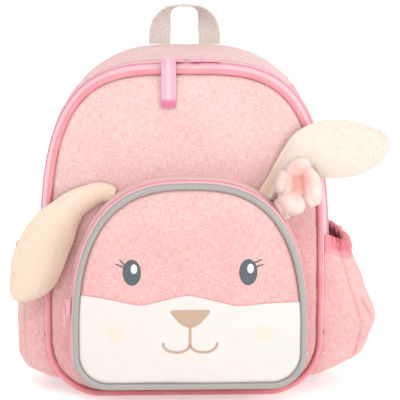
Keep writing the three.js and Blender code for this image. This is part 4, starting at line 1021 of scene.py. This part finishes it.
def add_prints():
    cloth_lift = 0.1 * MM
    muzzle_print_lift = MUZZLE_LIFT + 0.05 * MM
    for side, sign in (("left", -1), ("right", 1)):
        x = FACE_CENTRE + sign * EYE_SPACING / 2
        loop = ellipse_loop(x, EYE_LEVEL, EYE_WIDTH, EYE_HEIGHT)
        film_piece(f"eye_print_{side}", loop, cloth_lift, "eye", [f"eye_{side}"])
        glint = ellipse_loop(x + GLINT_ACROSS, EYE_LEVEL + GLINT_UP, GLINT_WIDTH, GLINT_HEIGHT)
        film_piece(f"glint_print_{side}", glint, cloth_lift + PRINT, "glint", [f"eye_glint_{side}"])
        for number, lash in enumerate([lash for lash in lashes if lash.side == side]):
            root = np.array([x + lash.root_x, EYE_LEVEL + lash.root_z])
            tip = np.array([x + lash.tip_x, EYE_LEVEL + lash.tip_z])
            points = curve_points(root, (root + tip) / 2 + [0, 0.6 * MM], tip)
            stroke_piece(f"lash_print_{side}_{number}", points, LASH_WIDTH, 0.45, cloth_lift, "eye")
        cheek_x = FACE_CENTRE + sign * (FACE_HALF - CHEEK_INSET)
        cheek = ellipse_loop(cheek_x, CHEEK_LEVEL, CHEEK_WIDTH, CHEEK_HEIGHT)
        film_piece(f"cheek_print_{side}", cheek, muzzle_print_lift - 0.15 * MM, "cheek", [f"cheek_{side}"])

    left = FACE_CENTRE - NOSE_WIDTH / 2
    right = FACE_CENTRE + NOSE_WIDTH / 2
    tip = NOSE_TOP - NOSE_HEIGHT
    bulge = NOSE_CORNER / 3
    shoulder = NOSE_CORNER * 0.6
    low = NOSE_TOP - NOSE_CORNER
    outlines = [
        curve_points((right - NOSE_CORNER, NOSE_TOP), (right + bulge, NOSE_TOP), (right - shoulder, low)),
        curve_points((right - shoulder, low), (FACE_CENTRE + NOSE_TAPER, tip), (FACE_CENTRE, tip)),
        curve_points((FACE_CENTRE, tip), (FACE_CENTRE - NOSE_TAPER, tip), (left + shoulder, low)),
        curve_points((left + shoulder, low), (left - bulge, NOSE_TOP), (left + NOSE_CORNER, NOSE_TOP)),
        np.linspace((left + NOSE_CORNER, NOSE_TOP), (right - NOSE_CORNER, NOSE_TOP), 16),
    ]
    loop = np.concatenate([part[:-1] for part in outlines])
    film_piece("nose_print", loop, muzzle_print_lift, "tan", ["nose"])
    mouth_low = tip - MOUTH_DROP
    stem = np.linspace((FACE_CENTRE, tip + 0.6 * MM), (FACE_CENTRE, mouth_low - MOUTH_STROKE / 2), 12)
    stroke_piece("mouth_stem", stem, MOUTH_STROKE, 0.0, muzzle_print_lift + 0.02 * MM, "tan", ["mouth"])
    overrun = 0.06
    angle = np.linspace(-overrun, 1 + overrun, 30) * math.pi
    for side, sign in (("left", -1), ("right", 1)):
        x = FACE_CENTRE + sign * MOUTH_WIDTH / 4 * (1 - np.cos(angle))
        z = mouth_low - MOUTH_CURL * np.sin(angle)
        line = np.stack([x, z], axis=-1)
        stroke_piece(f"mouth_arc_{side}", line, MOUTH_STROKE, 0.0, muzzle_print_lift, "tan")


# Ribbon pull


def strip_mesh(name, centres, across, width, thickness, columns=9, edge_round=0.35):
    """A flat strap along a line, with an across direction for each station."""
    along = unit(np.gradient(centres, axis=0))
    across = unit(across)
    normal = unit(np.cross(across, along))
    side = np.sin(np.linspace(-1, 1, columns) * math.pi / 2)
    half = thickness / 2 * (1 - edge_round * np.abs(side) ** 6)
    width = np.broadcast_to(width, len(centres))[:, None, None]
    spread_out = across[:, None] * side[None, :, None] * width / 2
    lift = normal[:, None] * half[None, :, None]
    outer = centres[:, None] + spread_out + lift
    inner = centres[:, None] + spread_out - lift
    down = np.broadcast_to(grid_lengths(centres, 0)[:, None], outer.shape[:2])
    weave = np.stack([side[None, :] * width[..., 0] / 2, down], axis=-1)
    return sheet_mesh(name, outer, inner, weave), outer


def smooth_path(points, count):
    """A smooth line of even steps through chosen points."""
    points = np.array(points, float)
    names = [f"axis_{number}" for number in range(points.shape[1])]
    rows = [SimpleNamespace(**dict(zip(names, point))) for point in points]
    share = np.linspace(0, 1, 1200)
    line = np.stack([along_rows(rows, share, name) for name in names], axis=-1)
    length = grid_lengths(line, 0)
    return points_along(line, length, np.linspace(0, length[-1], count))


def add_ribbon():
    centre = (ribbon_low.x + ribbon_high.x) / 2
    width = ribbon_high.x - ribbon_low.x
    half = 1.2 * MM
    crest = ribbon_high.z - half
    ridge = FRONT_TOP - FRONT_PIPING
    bend = FRONT_PIPING + GAP + 2 * half
    start_y = ribbon_high.y
    points = [(start_y, crest), (mix(start_y, Y_FRONT, 0.5), mix(crest, ridge + bend, 0.4))]
    for angle in np.radians([75, 100, 125, 150, 172]):
        points.append((Y_FRONT + math.cos(angle) * bend, ridge + math.sin(angle) * bend))
    slack = 0.5 * MM
    curl_out = 1.4 * MM
    curl_down = 1.2 * MM
    foot = ribbon_low.z + 5.5 * MM
    for share in np.linspace(0.15, 1, 6):
        z = mix(ridge, foot, share)
        surface = front_y(centre, z) - GAP - half - slack
        points.append((min(surface, mix(Y_FRONT - bend, surface, share)), z))
    points.append((points[-1][0] - curl_out, foot - curl_down))
    path = smooth_path(points, 90)
    centres = np.stack([np.full(len(path), centre), path[:, 0], path[:, 1]], axis=-1)
    sway = 0.4 * MM * ripple(path[:, 1], 0 * path[:, 1], 41, 30 * MM)
    centres[:, 1] -= np.abs(sway) * ease(np.linspace(0, 1, len(path)) * 2 - 1)
    across = np.broadcast_to(np.array([1.0, 0, 0]), centres.shape)
    mesh, outer = strip_mesh("ribbon_loop", centres, across, width, 2 * half)
    piece = add_piece("ribbon_loop", mesh, "ribbon", ["ribbon_pull"])


# Ears and flower

EAR_LENGTH = 128 * MM
EAR_WIDTH = 44 * MM
EAR_THICKNESS = 11 * MM
EAR_RIM = 1.6 * MM
EAR_CUP = 3 * MM
EAR_CENTRE = 0.3 * MM
EAR_SPACING = 133.8 * MM
LINING_SETBACK = 8 * MM
LINING_SETBACK_END = 0.42
PILE_WIDTH = 0.11 * MM
EAR_PILE_DENSITY = 1.6e6
EAR_PILE_LENGTH = 1.6 * MM
PETAL_PILE_DENSITY = 1.8e6
PETAL_PILE_LENGTH = 1.5 * MM
PETAL_SIZE = 16 * MM
FLOWER_THICKNESS = 17 * MM

EarRow = namedtuple("EarRow", "across up width out")
left_ear = SimpleNamespace(
    x=EAR_CENTRE - EAR_SPACING / 2,
    z=FACE_TOP - 9 * MM,
    rows=[
        EarRow(0.030, -0.040, 0.30, 0.27),
        EarRow(-0.062, -0.024, 0.38, 0.31),
        EarRow(-0.144, -0.052, 0.46, 0.40),
        EarRow(-0.240, -0.104, 0.56, 0.55),
        EarRow(-0.304, -0.168, 0.68, 0.75),
        EarRow(-0.367, -0.250, 0.88, 0.90),
        EarRow(-0.429, -0.356, 0.97, 1.00),
        EarRow(-0.484, -0.484, 1.00, 1.00),
        EarRow(-0.527, -0.590, 0.91, 0.95),
        EarRow(-0.589, -0.676, 0.62, 0.90),
        EarRow(-0.640, -0.740, 0.26, 0.85),
    ],
)
right_ear = SimpleNamespace(
    x=EAR_CENTRE + EAR_SPACING / 2,
    z=FACE_TOP - 11.8 * MM,
    rows=[
        EarRow(-0.030, -0.040, 0.34, 0.33),
        EarRow(0.040, 0.050, 0.38, 0.40),
        EarRow(0.105, 0.130, 0.50, 0.50),
        EarRow(0.175, 0.205, 0.66, 0.68),
        EarRow(0.250, 0.260, 0.90, 0.85),
        EarRow(0.337, 0.278, 1.08, 1.00),
        EarRow(0.444, 0.282, 1.14, 1.10),
        EarRow(0.560, 0.286, 1.06, 1.15),
        EarRow(0.670, 0.300, 0.84, 1.15),
        EarRow(0.750, 0.318, 0.48, 1.10),
        EarRow(0.793, 0.328, 0.18, 1.00),
    ],
)


def ear_middle(ear, share):
    x = ear.x + along_rows(ear.rows, share, "across") * EAR_LENGTH
    z = ear.z + along_rows(ear.rows, share, "up") * EAR_LENGTH
    stand = along_rows(ear.rows, share, "out") * EAR_THICKNESS
    return np.stack([x, front_y(x, z) - GAP - stand, z], axis=-1)


def ear_grid(ear, side, rows=90, columns=33):
    """One cloth of an ear: its outer and inner faces, and the direction of its nap."""
    share = 1 - (1 - np.linspace(0, 1, rows)) ** 1.15
    step = 0.02
    middle = ear_middle(ear, share)
    along = ear_middle(ear, np.minimum(share + step, 1)) - ear_middle(ear, np.maximum(share - step, 0))
    along[:, 1] = 0
    along = unit(along)
    across = np.stack([-along[:, 2], 0 * share, along[:, 0]], axis=-1)
    column = np.sin(np.linspace(-1, 1, columns) * math.pi / 2)[None]
    tip_length = 0.05
    root_length = 0.035
    tip = np.clip((share - (1 - tip_length)) / tip_length, 0, 1)
    root = np.clip((root_length - share) / root_length, 0, 1)
    width = along_rows(ear.rows, share, "width") * np.sqrt((1 - 0.98 * tip**2) * (1 - 0.7 * root**2))
    plump = np.minimum(1, width / 0.6)[:, None]
    reach = column * width[:, None] * EAR_WIDTH / 2
    if ear is right_ear and side > 0:
        held_back = LINING_SETBACK * (1 - ease(share / LINING_SETBACK_END))[:, None]
        reach = reach - held_back * ease((column + 1) / 2)
    points = middle[:, None] + across[:, None] * reach[..., None]
    swell = EAR_RIM + (EAR_THICKNESS / 2 - EAR_RIM) * plump * (1 - column**2)
    swell = swell * (1 + 0.07 * ripple(points[..., 0], points[..., 2], 51 + side, 28 * MM))
    swell = swell * np.sqrt(np.clip(1 - 0.97 * column**6, 0, 1))
    cup = EAR_CUP / 2 * column**2 * plump
    outer = points.copy()
    outer[..., 1] += cup - side * swell
    inner = points.copy()
    inner[..., 1] += cup - side * GAP / 3
    return outer, inner, along


def pile_mesh(name, points, nap, seed, density, length, width):
    """Short fibres over a grid of points, leaning along the nap. Density is in fibres a square metre."""
    random = np.random.default_rng(seed)
    normals = grid_normals(points)
    across = points[:-1, 1:] - points[:-1, :-1]
    down = points[1:, :-1] - points[:-1, :-1]
    area = np.linalg.norm(np.cross(across, down), axis=-1).ravel()
    count = int(area.sum() * density)
    cells = random.choice(len(area), size=count, p=area / area.sum())
    row, column = np.unravel_index(cells, (points.shape[0] - 1, points.shape[1] - 1))
    u = random.random(count)[:, None]
    v = random.random(count)[:, None]

    def pick(grid):
        low = mix(grid[row, column], grid[row, column + 1], u)
        high = mix(grid[row + 1, column], grid[row + 1, column + 1], u)
        return mix(low, high, v)

    roots = pick(points)
    ups = pick(normals)
    lean = nap[row] + 0.25 * random.normal(size=(count, 3))
    heading = unit(ups * random.uniform(0.2, 0.5, (count, 1)) + lean * 0.9)
    side = unit(np.cross(heading, ups))
    third = np.cross(heading, side)
    size = length * random.uniform(0.6, 1.2, (count, 1))
    template = np.array([[0, 1, 0], [0, -0.5, 0.87], [0, -0.5, -0.87], [1, 0, 0]])
    faces = np.array([[0, 1, 3], [1, 2, 3], [2, 0, 3], [0, 2, 1]])
    axes = np.stack([heading * size, side * width / 2, third * width / 2], axis=1)
    return scatter_mesh(name, template, faces, roots - ups * 0.15 * MM, axes)


def add_pile(name, points, nap, seed, density, length, finish):
    pile = pile_mesh(name, points, nap, seed, density, length, PILE_WIDTH)
    pile.shade_smooth()
    add_piece(name, pile, finish)


def add_ears():
    cloths = (
        ("ear_left_plush", "ear_left", left_ear, 1, "plush"),
        ("ear_left_inside", "ear_left_lining", left_ear, -1, "lining"),
        ("ear_right_plush", "ear_right", right_ear, -1, "plush"),
        ("ear_right_inside", "ear_right_lining", right_ear, 1, "lining"),
    )
    for number, (name, node, ear, side, finish) in enumerate(cloths):
        outer, inner, nap = ear_grid(ear, side)
        mesh = sheet_mesh(name, outer, inner, cloth_weave(outer))
        piece = add_piece(name, mesh, finish, [node])
        surface = outer if side > 0 else outer[:, ::-1]
        add_pile(f"{name}_pile", surface, nap, 60 + number, EAR_PILE_DENSITY, EAR_PILE_LENGTH, finish)


# Each petal's middle from the flower's, how far it stands out, its size and how far it leans to the left
Petal = namedtuple("Petal", "x z out wide tall lean")
petals = [
    Petal(-0.04, 0.92, 0.00, 1.00, 1.60, -54),
    Petal(0.64, 0.05, 0.10, 1.15, 2.30, 12),
    Petal(-0.34, -0.78, 0.08, 1.55, 1.50, -20),
    Petal(-0.66, 0.18, 0.05, 1.15, 1.50, -14),
    Petal(-0.02, 0.10, -0.06, 1.45, 1.75, 8),
    Petal(-0.80, -1.18, -0.12, 0.80, 1.30, 28),
]


def petal_crease(ball, number):
    """A soft fold across each petal, a little off its middle."""
    offset = 0.18 * (-1) ** number
    fold = np.exp(-(((ball[..., 0] - offset) / 0.16) ** 2))
    return 1 - 0.09 * fold * np.clip(-ball[..., 1], 0, 1)


def add_flower():
    middle = np.array(FLOWER_HEART)
    upright = np.linspace(0.02, math.pi - 0.02, 22)[:, None]
    around = np.linspace(0, 2 * math.pi, 41)[None]
    across = np.sin(upright) * np.cos(around)
    rise = np.sin(upright) * np.sin(around)
    ball = np.stack([across, -np.cos(upright) + 0 * around, rise], axis=-1)
    for number, petal in enumerate(petals):
        size = np.array([petal.wide * PETAL_SIZE / 2, FLOWER_THICKNESS / 2, petal.tall * PETAL_SIZE / 2])
        lump = 1 + 0.06 * ripple(ball[..., 0], ball[..., 2], 71 + number, 1.4)
        lump[:, -1] = lump[:, 0]
        crease = petal_crease(ball, number)
        flat = ball * size * (lump * crease)[..., None]
        lean = math.radians(petal.lean)
        across = flat[..., 0] * math.cos(lean) - flat[..., 2] * math.sin(lean)
        rise = flat[..., 0] * math.sin(lean) + flat[..., 2] * math.cos(lean)
        points = np.stack([across, flat[..., 1], rise], axis=-1) + middle
        points += [petal.x * PETAL_SIZE, -petal.out * FLOWER_THICKNESS, petal.z * PETAL_SIZE]
        shell = points[:, :-1]
        mesh = make_mesh(f"petal_{number}", shell, grid_faces(22, 40, True), shell[..., [0, 2]])
        close_ends(mesh)
        piece = add_piece(f"petal_{number}", mesh, "petal", ["ear_flower"] if number == 0 else ())
        nap = np.broadcast_to(np.array([0.0, 0, -0.4]), (len(points), 3))
        name = f"petal_{number}_pile"
        surface = points[:, ::-1]
        add_pile(name, surface, nap, 80 + number, PETAL_PILE_DENSITY, PETAL_PILE_LENGTH, "petal")


def close_ends(mesh):
    """Fills the open rings at a shell's two ends."""
    work = bmesh.new()
    work.from_mesh(mesh)
    rims = [edge for edge in work.edges if len(edge.link_faces) == 1]
    bmesh.ops.holes_fill(work, edges=rims, sides=0)
    bmesh.ops.recalc_face_normals(work, faces=work.faces)
    work.to_mesh(mesh)
    work.free()
    mesh.shade_smooth()


# Grab handle, side pockets and shoulder straps

HANDLE_WIDTH = 19 * MM
HANDLE_THICKNESS = 2 * MM
HANDLE_SPAN = 44.4 * MM
HANDLE_CENTRE = -1.2 * MM


def add_handle():
    share = np.linspace(0, 1, 91)
    angle = math.pi * (1 - share)
    rise = handle_high.z - handle_low.z
    swing = np.sign(np.cos(angle)) * np.abs(np.cos(angle)) ** 0.62
    y = (handle_low.y + handle_high.y) / 2
    x = HANDLE_CENTRE + HANDLE_SPAN / 2 * swing
    z = handle_low.z + (rise - HANDLE_THICKNESS) * np.maximum(np.sin(angle), 0) ** 0.8
    centres = smooth_path(np.stack([x, np.full(len(x), y), z], axis=-1), 120)
    share = np.linspace(0, 1, 120)
    along = unit(np.gradient(centres, axis=0))
    twist = math.pi / 2 * np.sin(math.pi * share) ** 2
    flat = np.cos(twist)
    across = np.stack([along[:, 2] * flat, np.sin(twist), -along[:, 0] * flat], axis=-1)
    mesh, outer = strip_mesh("handle_webbing", centres, across, HANDLE_WIDTH, HANDLE_THICKNESS, columns=13)
    piece = add_piece("handle_webbing", mesh, "webbing", ["grab_handle"])


SIDE_HEIGHT = 139 * MM
SIDE_REACH = 43 * MM
SIDE_FLAT_REACH = 21 * MM
CORNER_CLEARANCE = 2.6 * MM
FRONT_RISE = 8 * MM
FRONT_RISE_SHARE = 0.5
FOOT_SHARE = 0.35
FOOT_HEIGHT = 0.24
SIDE_WALL = 2 * MM
SIDE_ROUNDNESS = 0.6
SIDE_SOFTNESS = 0.9 * MM
SIDE_RIPPLE = 34 * MM
HEM_LEAN = 0.135
BAND_HEIGHT = 17 * MM
RIM_DROP = 11.2 * MM
GATHER_DEPTH = 2.2 * MM
CASING_PUFF = 2.0 * MM
side_low, side_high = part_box("side_pocket_right")
SIDE_MIDDLE_Y = (side_low.y + side_high.y) / 2
SIDE_SPAN = side_high.y - side_low.y

SideRow = namedtuple("SideRow", "reach height")
side_rows = [
    SideRow(-0.50, 0.078),
    SideRow(-0.10, 0.066),
    SideRow(0.14, 0.096),
    SideRow(0.42, 0.140),
    SideRow(0.69, 0.190),
    SideRow(0.79, 0.262),
    SideRow(0.87, 0.338),
    SideRow(1.00, 0.430),
    SideRow(0.90, 0.540),
    SideRow(0.74, 0.680),
    SideRow(0.62, 0.800),
    SideRow(0.54, 0.885),
]


def body_half_at(shape, z):
    rise = shape.radius - np.clip(z, 0, shape.radius)
    low = shape.half - shape.radius + np.sqrt(shape.radius**2 - rise**2)
    share = np.clip((z - shape.arch_base) / (shape.top - shape.arch_base), 0, 1)
    return np.where(z < shape.radius, low, shape.half * (1 - share**shape.power) ** (1 / shape.power))


# Where each crease of the side pockets runs, as shares of the pocket's height and of the way round it
Crease = namedtuple("Crease", "side from_height from_round to_height to_round depth width")
creases = [
    Crease("right", 1.02, 0.135, 0.25, 0.270, 5.0 * MM, 0.016),
    Crease("right", 0.76, 0.270, 0.66, 0.335, 4.5 * MM, 0.014),
    Crease("right", 0.60, 0.300, 0.45, 0.240, 2.5 * MM, 0.016),
    Crease("left", 0.95, 0.200, 0.20, 0.170, 3.0 * MM, 0.020),
    Crease("left", 0.55, 0.260, 0.30, 0.330, 2.0 * MM, 0.018),
]


def crease_depth(side, share, column):
    """How far the cloth is drawn in along its creases."""
    total = 0.0
    for crease in creases:
        if crease.side != side:
            continue
        t = (share - crease.from_height) / (crease.to_height - crease.from_height)
        line = mix(crease.from_round, crease.to_round, np.clip(t, 0, 1))
        past_end = np.maximum(np.abs(2 * t - 1) - 1, 0)
        away = ((column - line) / crease.width) ** 2 + (past_end / 0.15) ** 2
        total = total + crease.depth * np.exp(-away)
    return total


def side_surface(sign, most, share, column, inner):
    angle = math.pi * column
    sine = np.maximum(np.sin(angle), 0)
    height = along_rows(side_rows, share, "height")
    fullness = mix(FOOT_SHARE, 1, ease(height / FOOT_HEIGHT))
    row_reach = np.minimum(along_rows(side_rows, share, "reach") * SIDE_REACH, most * fullness)
    front_lift = FRONT_RISE * (1 + np.cos(angle)) * np.maximum(0, 1 - share / FRONT_RISE_SHARE) / 2
    z = height * SIDE_HEIGHT + front_lift - RIM_DROP * share**3 * sine
    y = -(SIDE_SPAN / 2 - (SIDE_WALL if inner else 0)) * np.cos(angle) + SIDE_MIDDLE_Y
    shape = body_shape(y)
    clearance = CORNER_CLEARANCE * np.maximum(0, 1 - z / shape.radius) * np.minimum(1, 3 * sine)
    edge = body_half_at(shape, z) + 0.3 * GAP + clearance
    outermost = np.maximum(shape.half + row_reach, edge + SIDE_WALL * 1.5)
    spread_out = sine**SIDE_ROUNDNESS
    thin = SIDE_WALL * np.minimum(1, spread_out * 4) if inner else 0
    x = np.maximum(mix(edge, outermost, spread_out) - thin, edge)
    lift = np.where(share < 0.2, SIDE_WALL, 0) if inner else 0
    side = "right" if sign > 0 else "left"
    loose = sine * ease(share * 4)
    drawn = crease_depth(side, share, column) * loose
    seed = 45 if sign > 0 else 46
    soft = SIDE_SOFTNESS * ripple(y, z, seed, SIDE_RIPPLE) * loose
    x = np.maximum(x - (drawn * sine + soft * sine), edge)
    y = y + (drawn + soft) * np.cos(angle)
    return np.stack([shape.centre + sign * x, y, z + lift], axis=-1)


def band_surface(sign, most, column, row, inner):
    angle = math.pi * column
    foot = side_surface(sign, most, np.ones_like(column), column, inner)
    sine = np.sin(angle)
    lean = HEM_LEAN * row * most * sine
    seed = 47 if sign > 0 else 48
    fade = np.minimum(1, 3 * sine)
    gather = GATHER_DEPTH * gathers(column, row, seed) * ease(row * 1.3) * fade
    casing = CASING_PUFF * np.sin(math.pi * np.clip((row - 0.5) / 0.5, 0, 1)) * fade
    swell = gather + casing * (-0.8 if inner else 1)
    shape = body_shape(foot[..., 1])
    z = foot[..., 2] - SEAM_LAP + row * BAND_HEIGHT + 0.5 * gather * row
    edge = body_half_at(shape, z) + 2 * GAP
    out = np.maximum((foot[..., 0] - shape.centre) * sign - lean + swell * sine, edge)
    y = foot[..., 1] - swell * np.cos(angle)
    return np.stack([shape.centre + sign * out, y, z], axis=-1)


def gathers(column, row, seed):
    """Uneven gathers round a hem: ridges that wander as they run down from its rim."""
    random = np.random.default_rng(seed)
    total = 0.0
    for count in (17, 23, 31, 41):
        phase = random.uniform(0, 2 * math.pi)
        drift = random.uniform(-1.4, 1.4)
        wave = np.cos(math.pi * count * column + phase + drift * (1 - row) ** 2)
        total = total + 1 - 2 * np.abs(wave) ** 0.7
    return total / 2.4


def share_grid(rows, columns):
    """Shares of the way down and across a grid."""
    return np.meshgrid(np.linspace(0, 1, rows), np.linspace(0, 1, columns), indexing="ij")


def add_side_pockets():
    pockets = (("right", 1, SIDE_REACH), ("left", -1, SIDE_FLAT_REACH))
    for side, sign, reach in pockets:
        share, column = share_grid(90, 150)
        outer = side_surface(sign, reach, share, column, False)
        inner = side_surface(sign, reach, share, column, True)
        name = f"pocket_cloth_{side}"
        mesh = sheet_mesh(name, outer, inner, cloth_weave(outer))
        piece = add_piece(name, mesh, "melange", [f"side_pocket_{side}"])
        row, column = share_grid(20, 420)
        outer = band_surface(sign, reach, column, row, False)
        inner = band_surface(sign, reach, column, row, True)
        name = f"hem_{side}"
        mesh = sheet_mesh(name, outer, inner, cloth_weave(outer))
        piece = add_piece(name, mesh, "coral", [f"pocket_band_{side}"])


StrapRow = namedtuple("StrapRow", "off splay height")
strap_rows = [
    StrapRow(0.00, 0.00, 1.00),
    StrapRow(0.56, 0.02, 0.99),
    StrapRow(0.88, 0.07, 0.90),
    StrapRow(1.00, 0.16, 0.75),
    StrapRow(0.97, 0.27, 0.60),
    StrapRow(0.84, 0.38, 0.47),
    StrapRow(0.68, 0.50, 0.36),
    StrapRow(0.52, 0.64, 0.25),
    StrapRow(0.32, 0.80, 0.13),
    StrapRow(0.12, 0.94, 0.04),
    StrapRow(0.03, 1.00, 0.00),
]
STRAP_WIDTH = 46 * MM
STRAP_THICKNESS = 8 * MM
STRAP_REACH = 30 * MM
STRAP_INSET = 36 * MM
STRAP_SPLAY = 58 * MM
STRAP_LOW = 28 * MM
STRAP_HIGH = 272 * MM
PAD_SHARE = 0.62
WEBBING_WIDTH = 22 * MM
WEBBING_THICKNESS = 1.8 * MM


def strap_line(sign, start, end, count):
    share = np.linspace(start, end, count)
    x = sign * (STRAP_INSET + along_rows(strap_rows, share, "splay") * STRAP_SPLAY)
    y = Y_REAR + GAP + 1.2 * MM + along_rows(strap_rows, share, "off") * STRAP_REACH
    z = mix(STRAP_LOW, STRAP_HIGH, along_rows(strap_rows, share, "height"))
    return np.stack([x, y, z], axis=-1)


def add_straps():
    for side, sign in (("left", -1), ("right", 1)):
        centres = strap_line(sign, 0, PAD_SHARE, 90)
        across = np.broadcast_to(np.array([1.0, 0, 0]), centres.shape)
        share = np.linspace(0, 1, 90)
        foot = np.sqrt(np.clip(1 - np.clip((share - 0.93) / 0.07, 0, 1) ** 2 * 0.75, 0, 1))
        width = STRAP_WIDTH * foot
        name = f"strap_{side}"
        mesh, _ = strip_mesh(name, centres, across, width, STRAP_THICKNESS, 21, edge_round=0.85)
        piece = add_piece(name, mesh, "melange", [f"strap_pad_{side}"])
        centres = strap_line(sign, PAD_SHARE + 0.002, 1, 80)
        across = np.broadcast_to(np.array([1.0, 0, 0]), centres.shape)
        name = f"strap_tape_{side}"
        mesh, outer = strip_mesh(name, centres, across, WEBBING_WIDTH, WEBBING_THICKNESS)
        piece = add_piece(name, mesh, "webbing", [f"strap_webbing_{side}"])


def dress_fittings():
    """Better surfaces for the hard pieces that stay as they are."""
    kept = {
        "main_slider_left": "zip_plastic",
        "main_slider_right": "zip_plastic",
        "main_pull_tab": "zip_plastic",
        "pocket_slider": "zip_plastic",
        "pocket_pull": "zip_plastic",
        "strap_adjuster_left": "buckle",
        "strap_adjuster_right": "buckle",
    }
    for name, finish in kept.items():
        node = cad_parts[name]
        node.data.materials.clear()
        node.data.materials.append(finishes[finish])
        bevel = node.modifiers.new("soft_edges", "BEVEL")
        bevel.width = 0.35 * MM
        bevel.segments = 3


# Floor, light and camera

FLOOR_HALF = 4.0
PAPER_GREY = 0.86
PAPER_GLOW = 0.34
SKY_STRENGTH = 1.1
LAMP_POWER = 4.2
CAMERA_AZIMUTH = -2
CAMERA_ELEVATION = 9
CAMERA_DISTANCE = 1.6
CAMERA_AIM = (0.011, 0, 0.162)
CAMERA_LENS = 163.5


def add_stage():
    half = FLOOR_HALF
    corners = [(-half, -half, 0), (half, -half, 0), (half, half, 0), (-half, half, 0)]
    mesh = bpy.data.meshes.new("floor")
    mesh.from_pydata(corners, [], [(0, 1, 2, 3)])
    floor = bpy.data.objects.new("floor", mesh)
    bpy.context.scene.collection.objects.link(floor)
    paper = bpy.data.materials.new("paper")
    paper.use_nodes = True
    shader = paper.node_tree.nodes["Principled BSDF"]
    shader.inputs["Base Color"].default_value = (PAPER_GREY, PAPER_GREY, PAPER_GREY, 1)
    shader.inputs["Roughness"].default_value = 0.9
    shader.inputs["Emission Color"].default_value = (1, 1, 1, 1)
    shader.inputs["Emission Strength"].default_value = PAPER_GLOW
    mesh.materials.append(paper)


def add_lamp(name, place, aim, size, power):
    light = bpy.data.lights.new(name, "AREA")
    light.shape = "DISK"
    light.size = size
    light.energy = power
    lamp = bpy.data.objects.new(name, light)
    lamp.location = place
    lamp.rotation_euler = (Vector(place) - Vector(aim)).to_track_quat("Z", "Y").to_euler()
    bpy.context.scene.collection.objects.link(lamp)


def add_light():
    world = bpy.data.worlds.new("studio")
    world.use_nodes = True
    background = world.node_tree.nodes["Background"]
    background.inputs["Color"].default_value = (1, 1, 1, 1)
    background.inputs["Strength"].default_value = SKY_STRENGTH
    bpy.context.scene.world = world
    bpy.context.scene.view_settings.view_transform = "Standard"
    aim = (0, 0, BACK_TOP / 2)
    add_lamp("key", (-0.35, -1.0, 1.1), aim, 0.5, LAMP_POWER)
    add_lamp("fill", (0.9, -0.8, 0.5), aim, 0.6, LAMP_POWER)


def add_camera():
    azimuth = math.radians(CAMERA_AZIMUTH)
    elevation = math.radians(CAMERA_ELEVATION)
    aim = Vector(CAMERA_AIM)
    back = Vector((
        math.sin(azimuth) * math.cos(elevation),
        -math.cos(azimuth) * math.cos(elevation),
        math.sin(elevation),
    ))
    data = bpy.data.cameras.new("photo_view")
    data.sensor_width = 36
    data.lens = CAMERA_LENS
    camera = bpy.data.objects.new("photo_view", data)
    camera.location = aim + back * CAMERA_DISTANCE
    camera.rotation_euler = back.to_track_quat("Z", "Y").to_euler()
    bpy.context.scene.collection.objects.link(camera)
    bpy.context.scene.camera = camera


add_front()
add_front_piping()
add_body_walls()
add_main_zip()
add_back()
add_pocket()
add_muzzle()
add_prints()
add_ribbon()
add_ears()
add_flower()
add_handle()
add_side_pockets()
add_straps()
dress_fittings()
add_stage()
add_light()
add_camera()
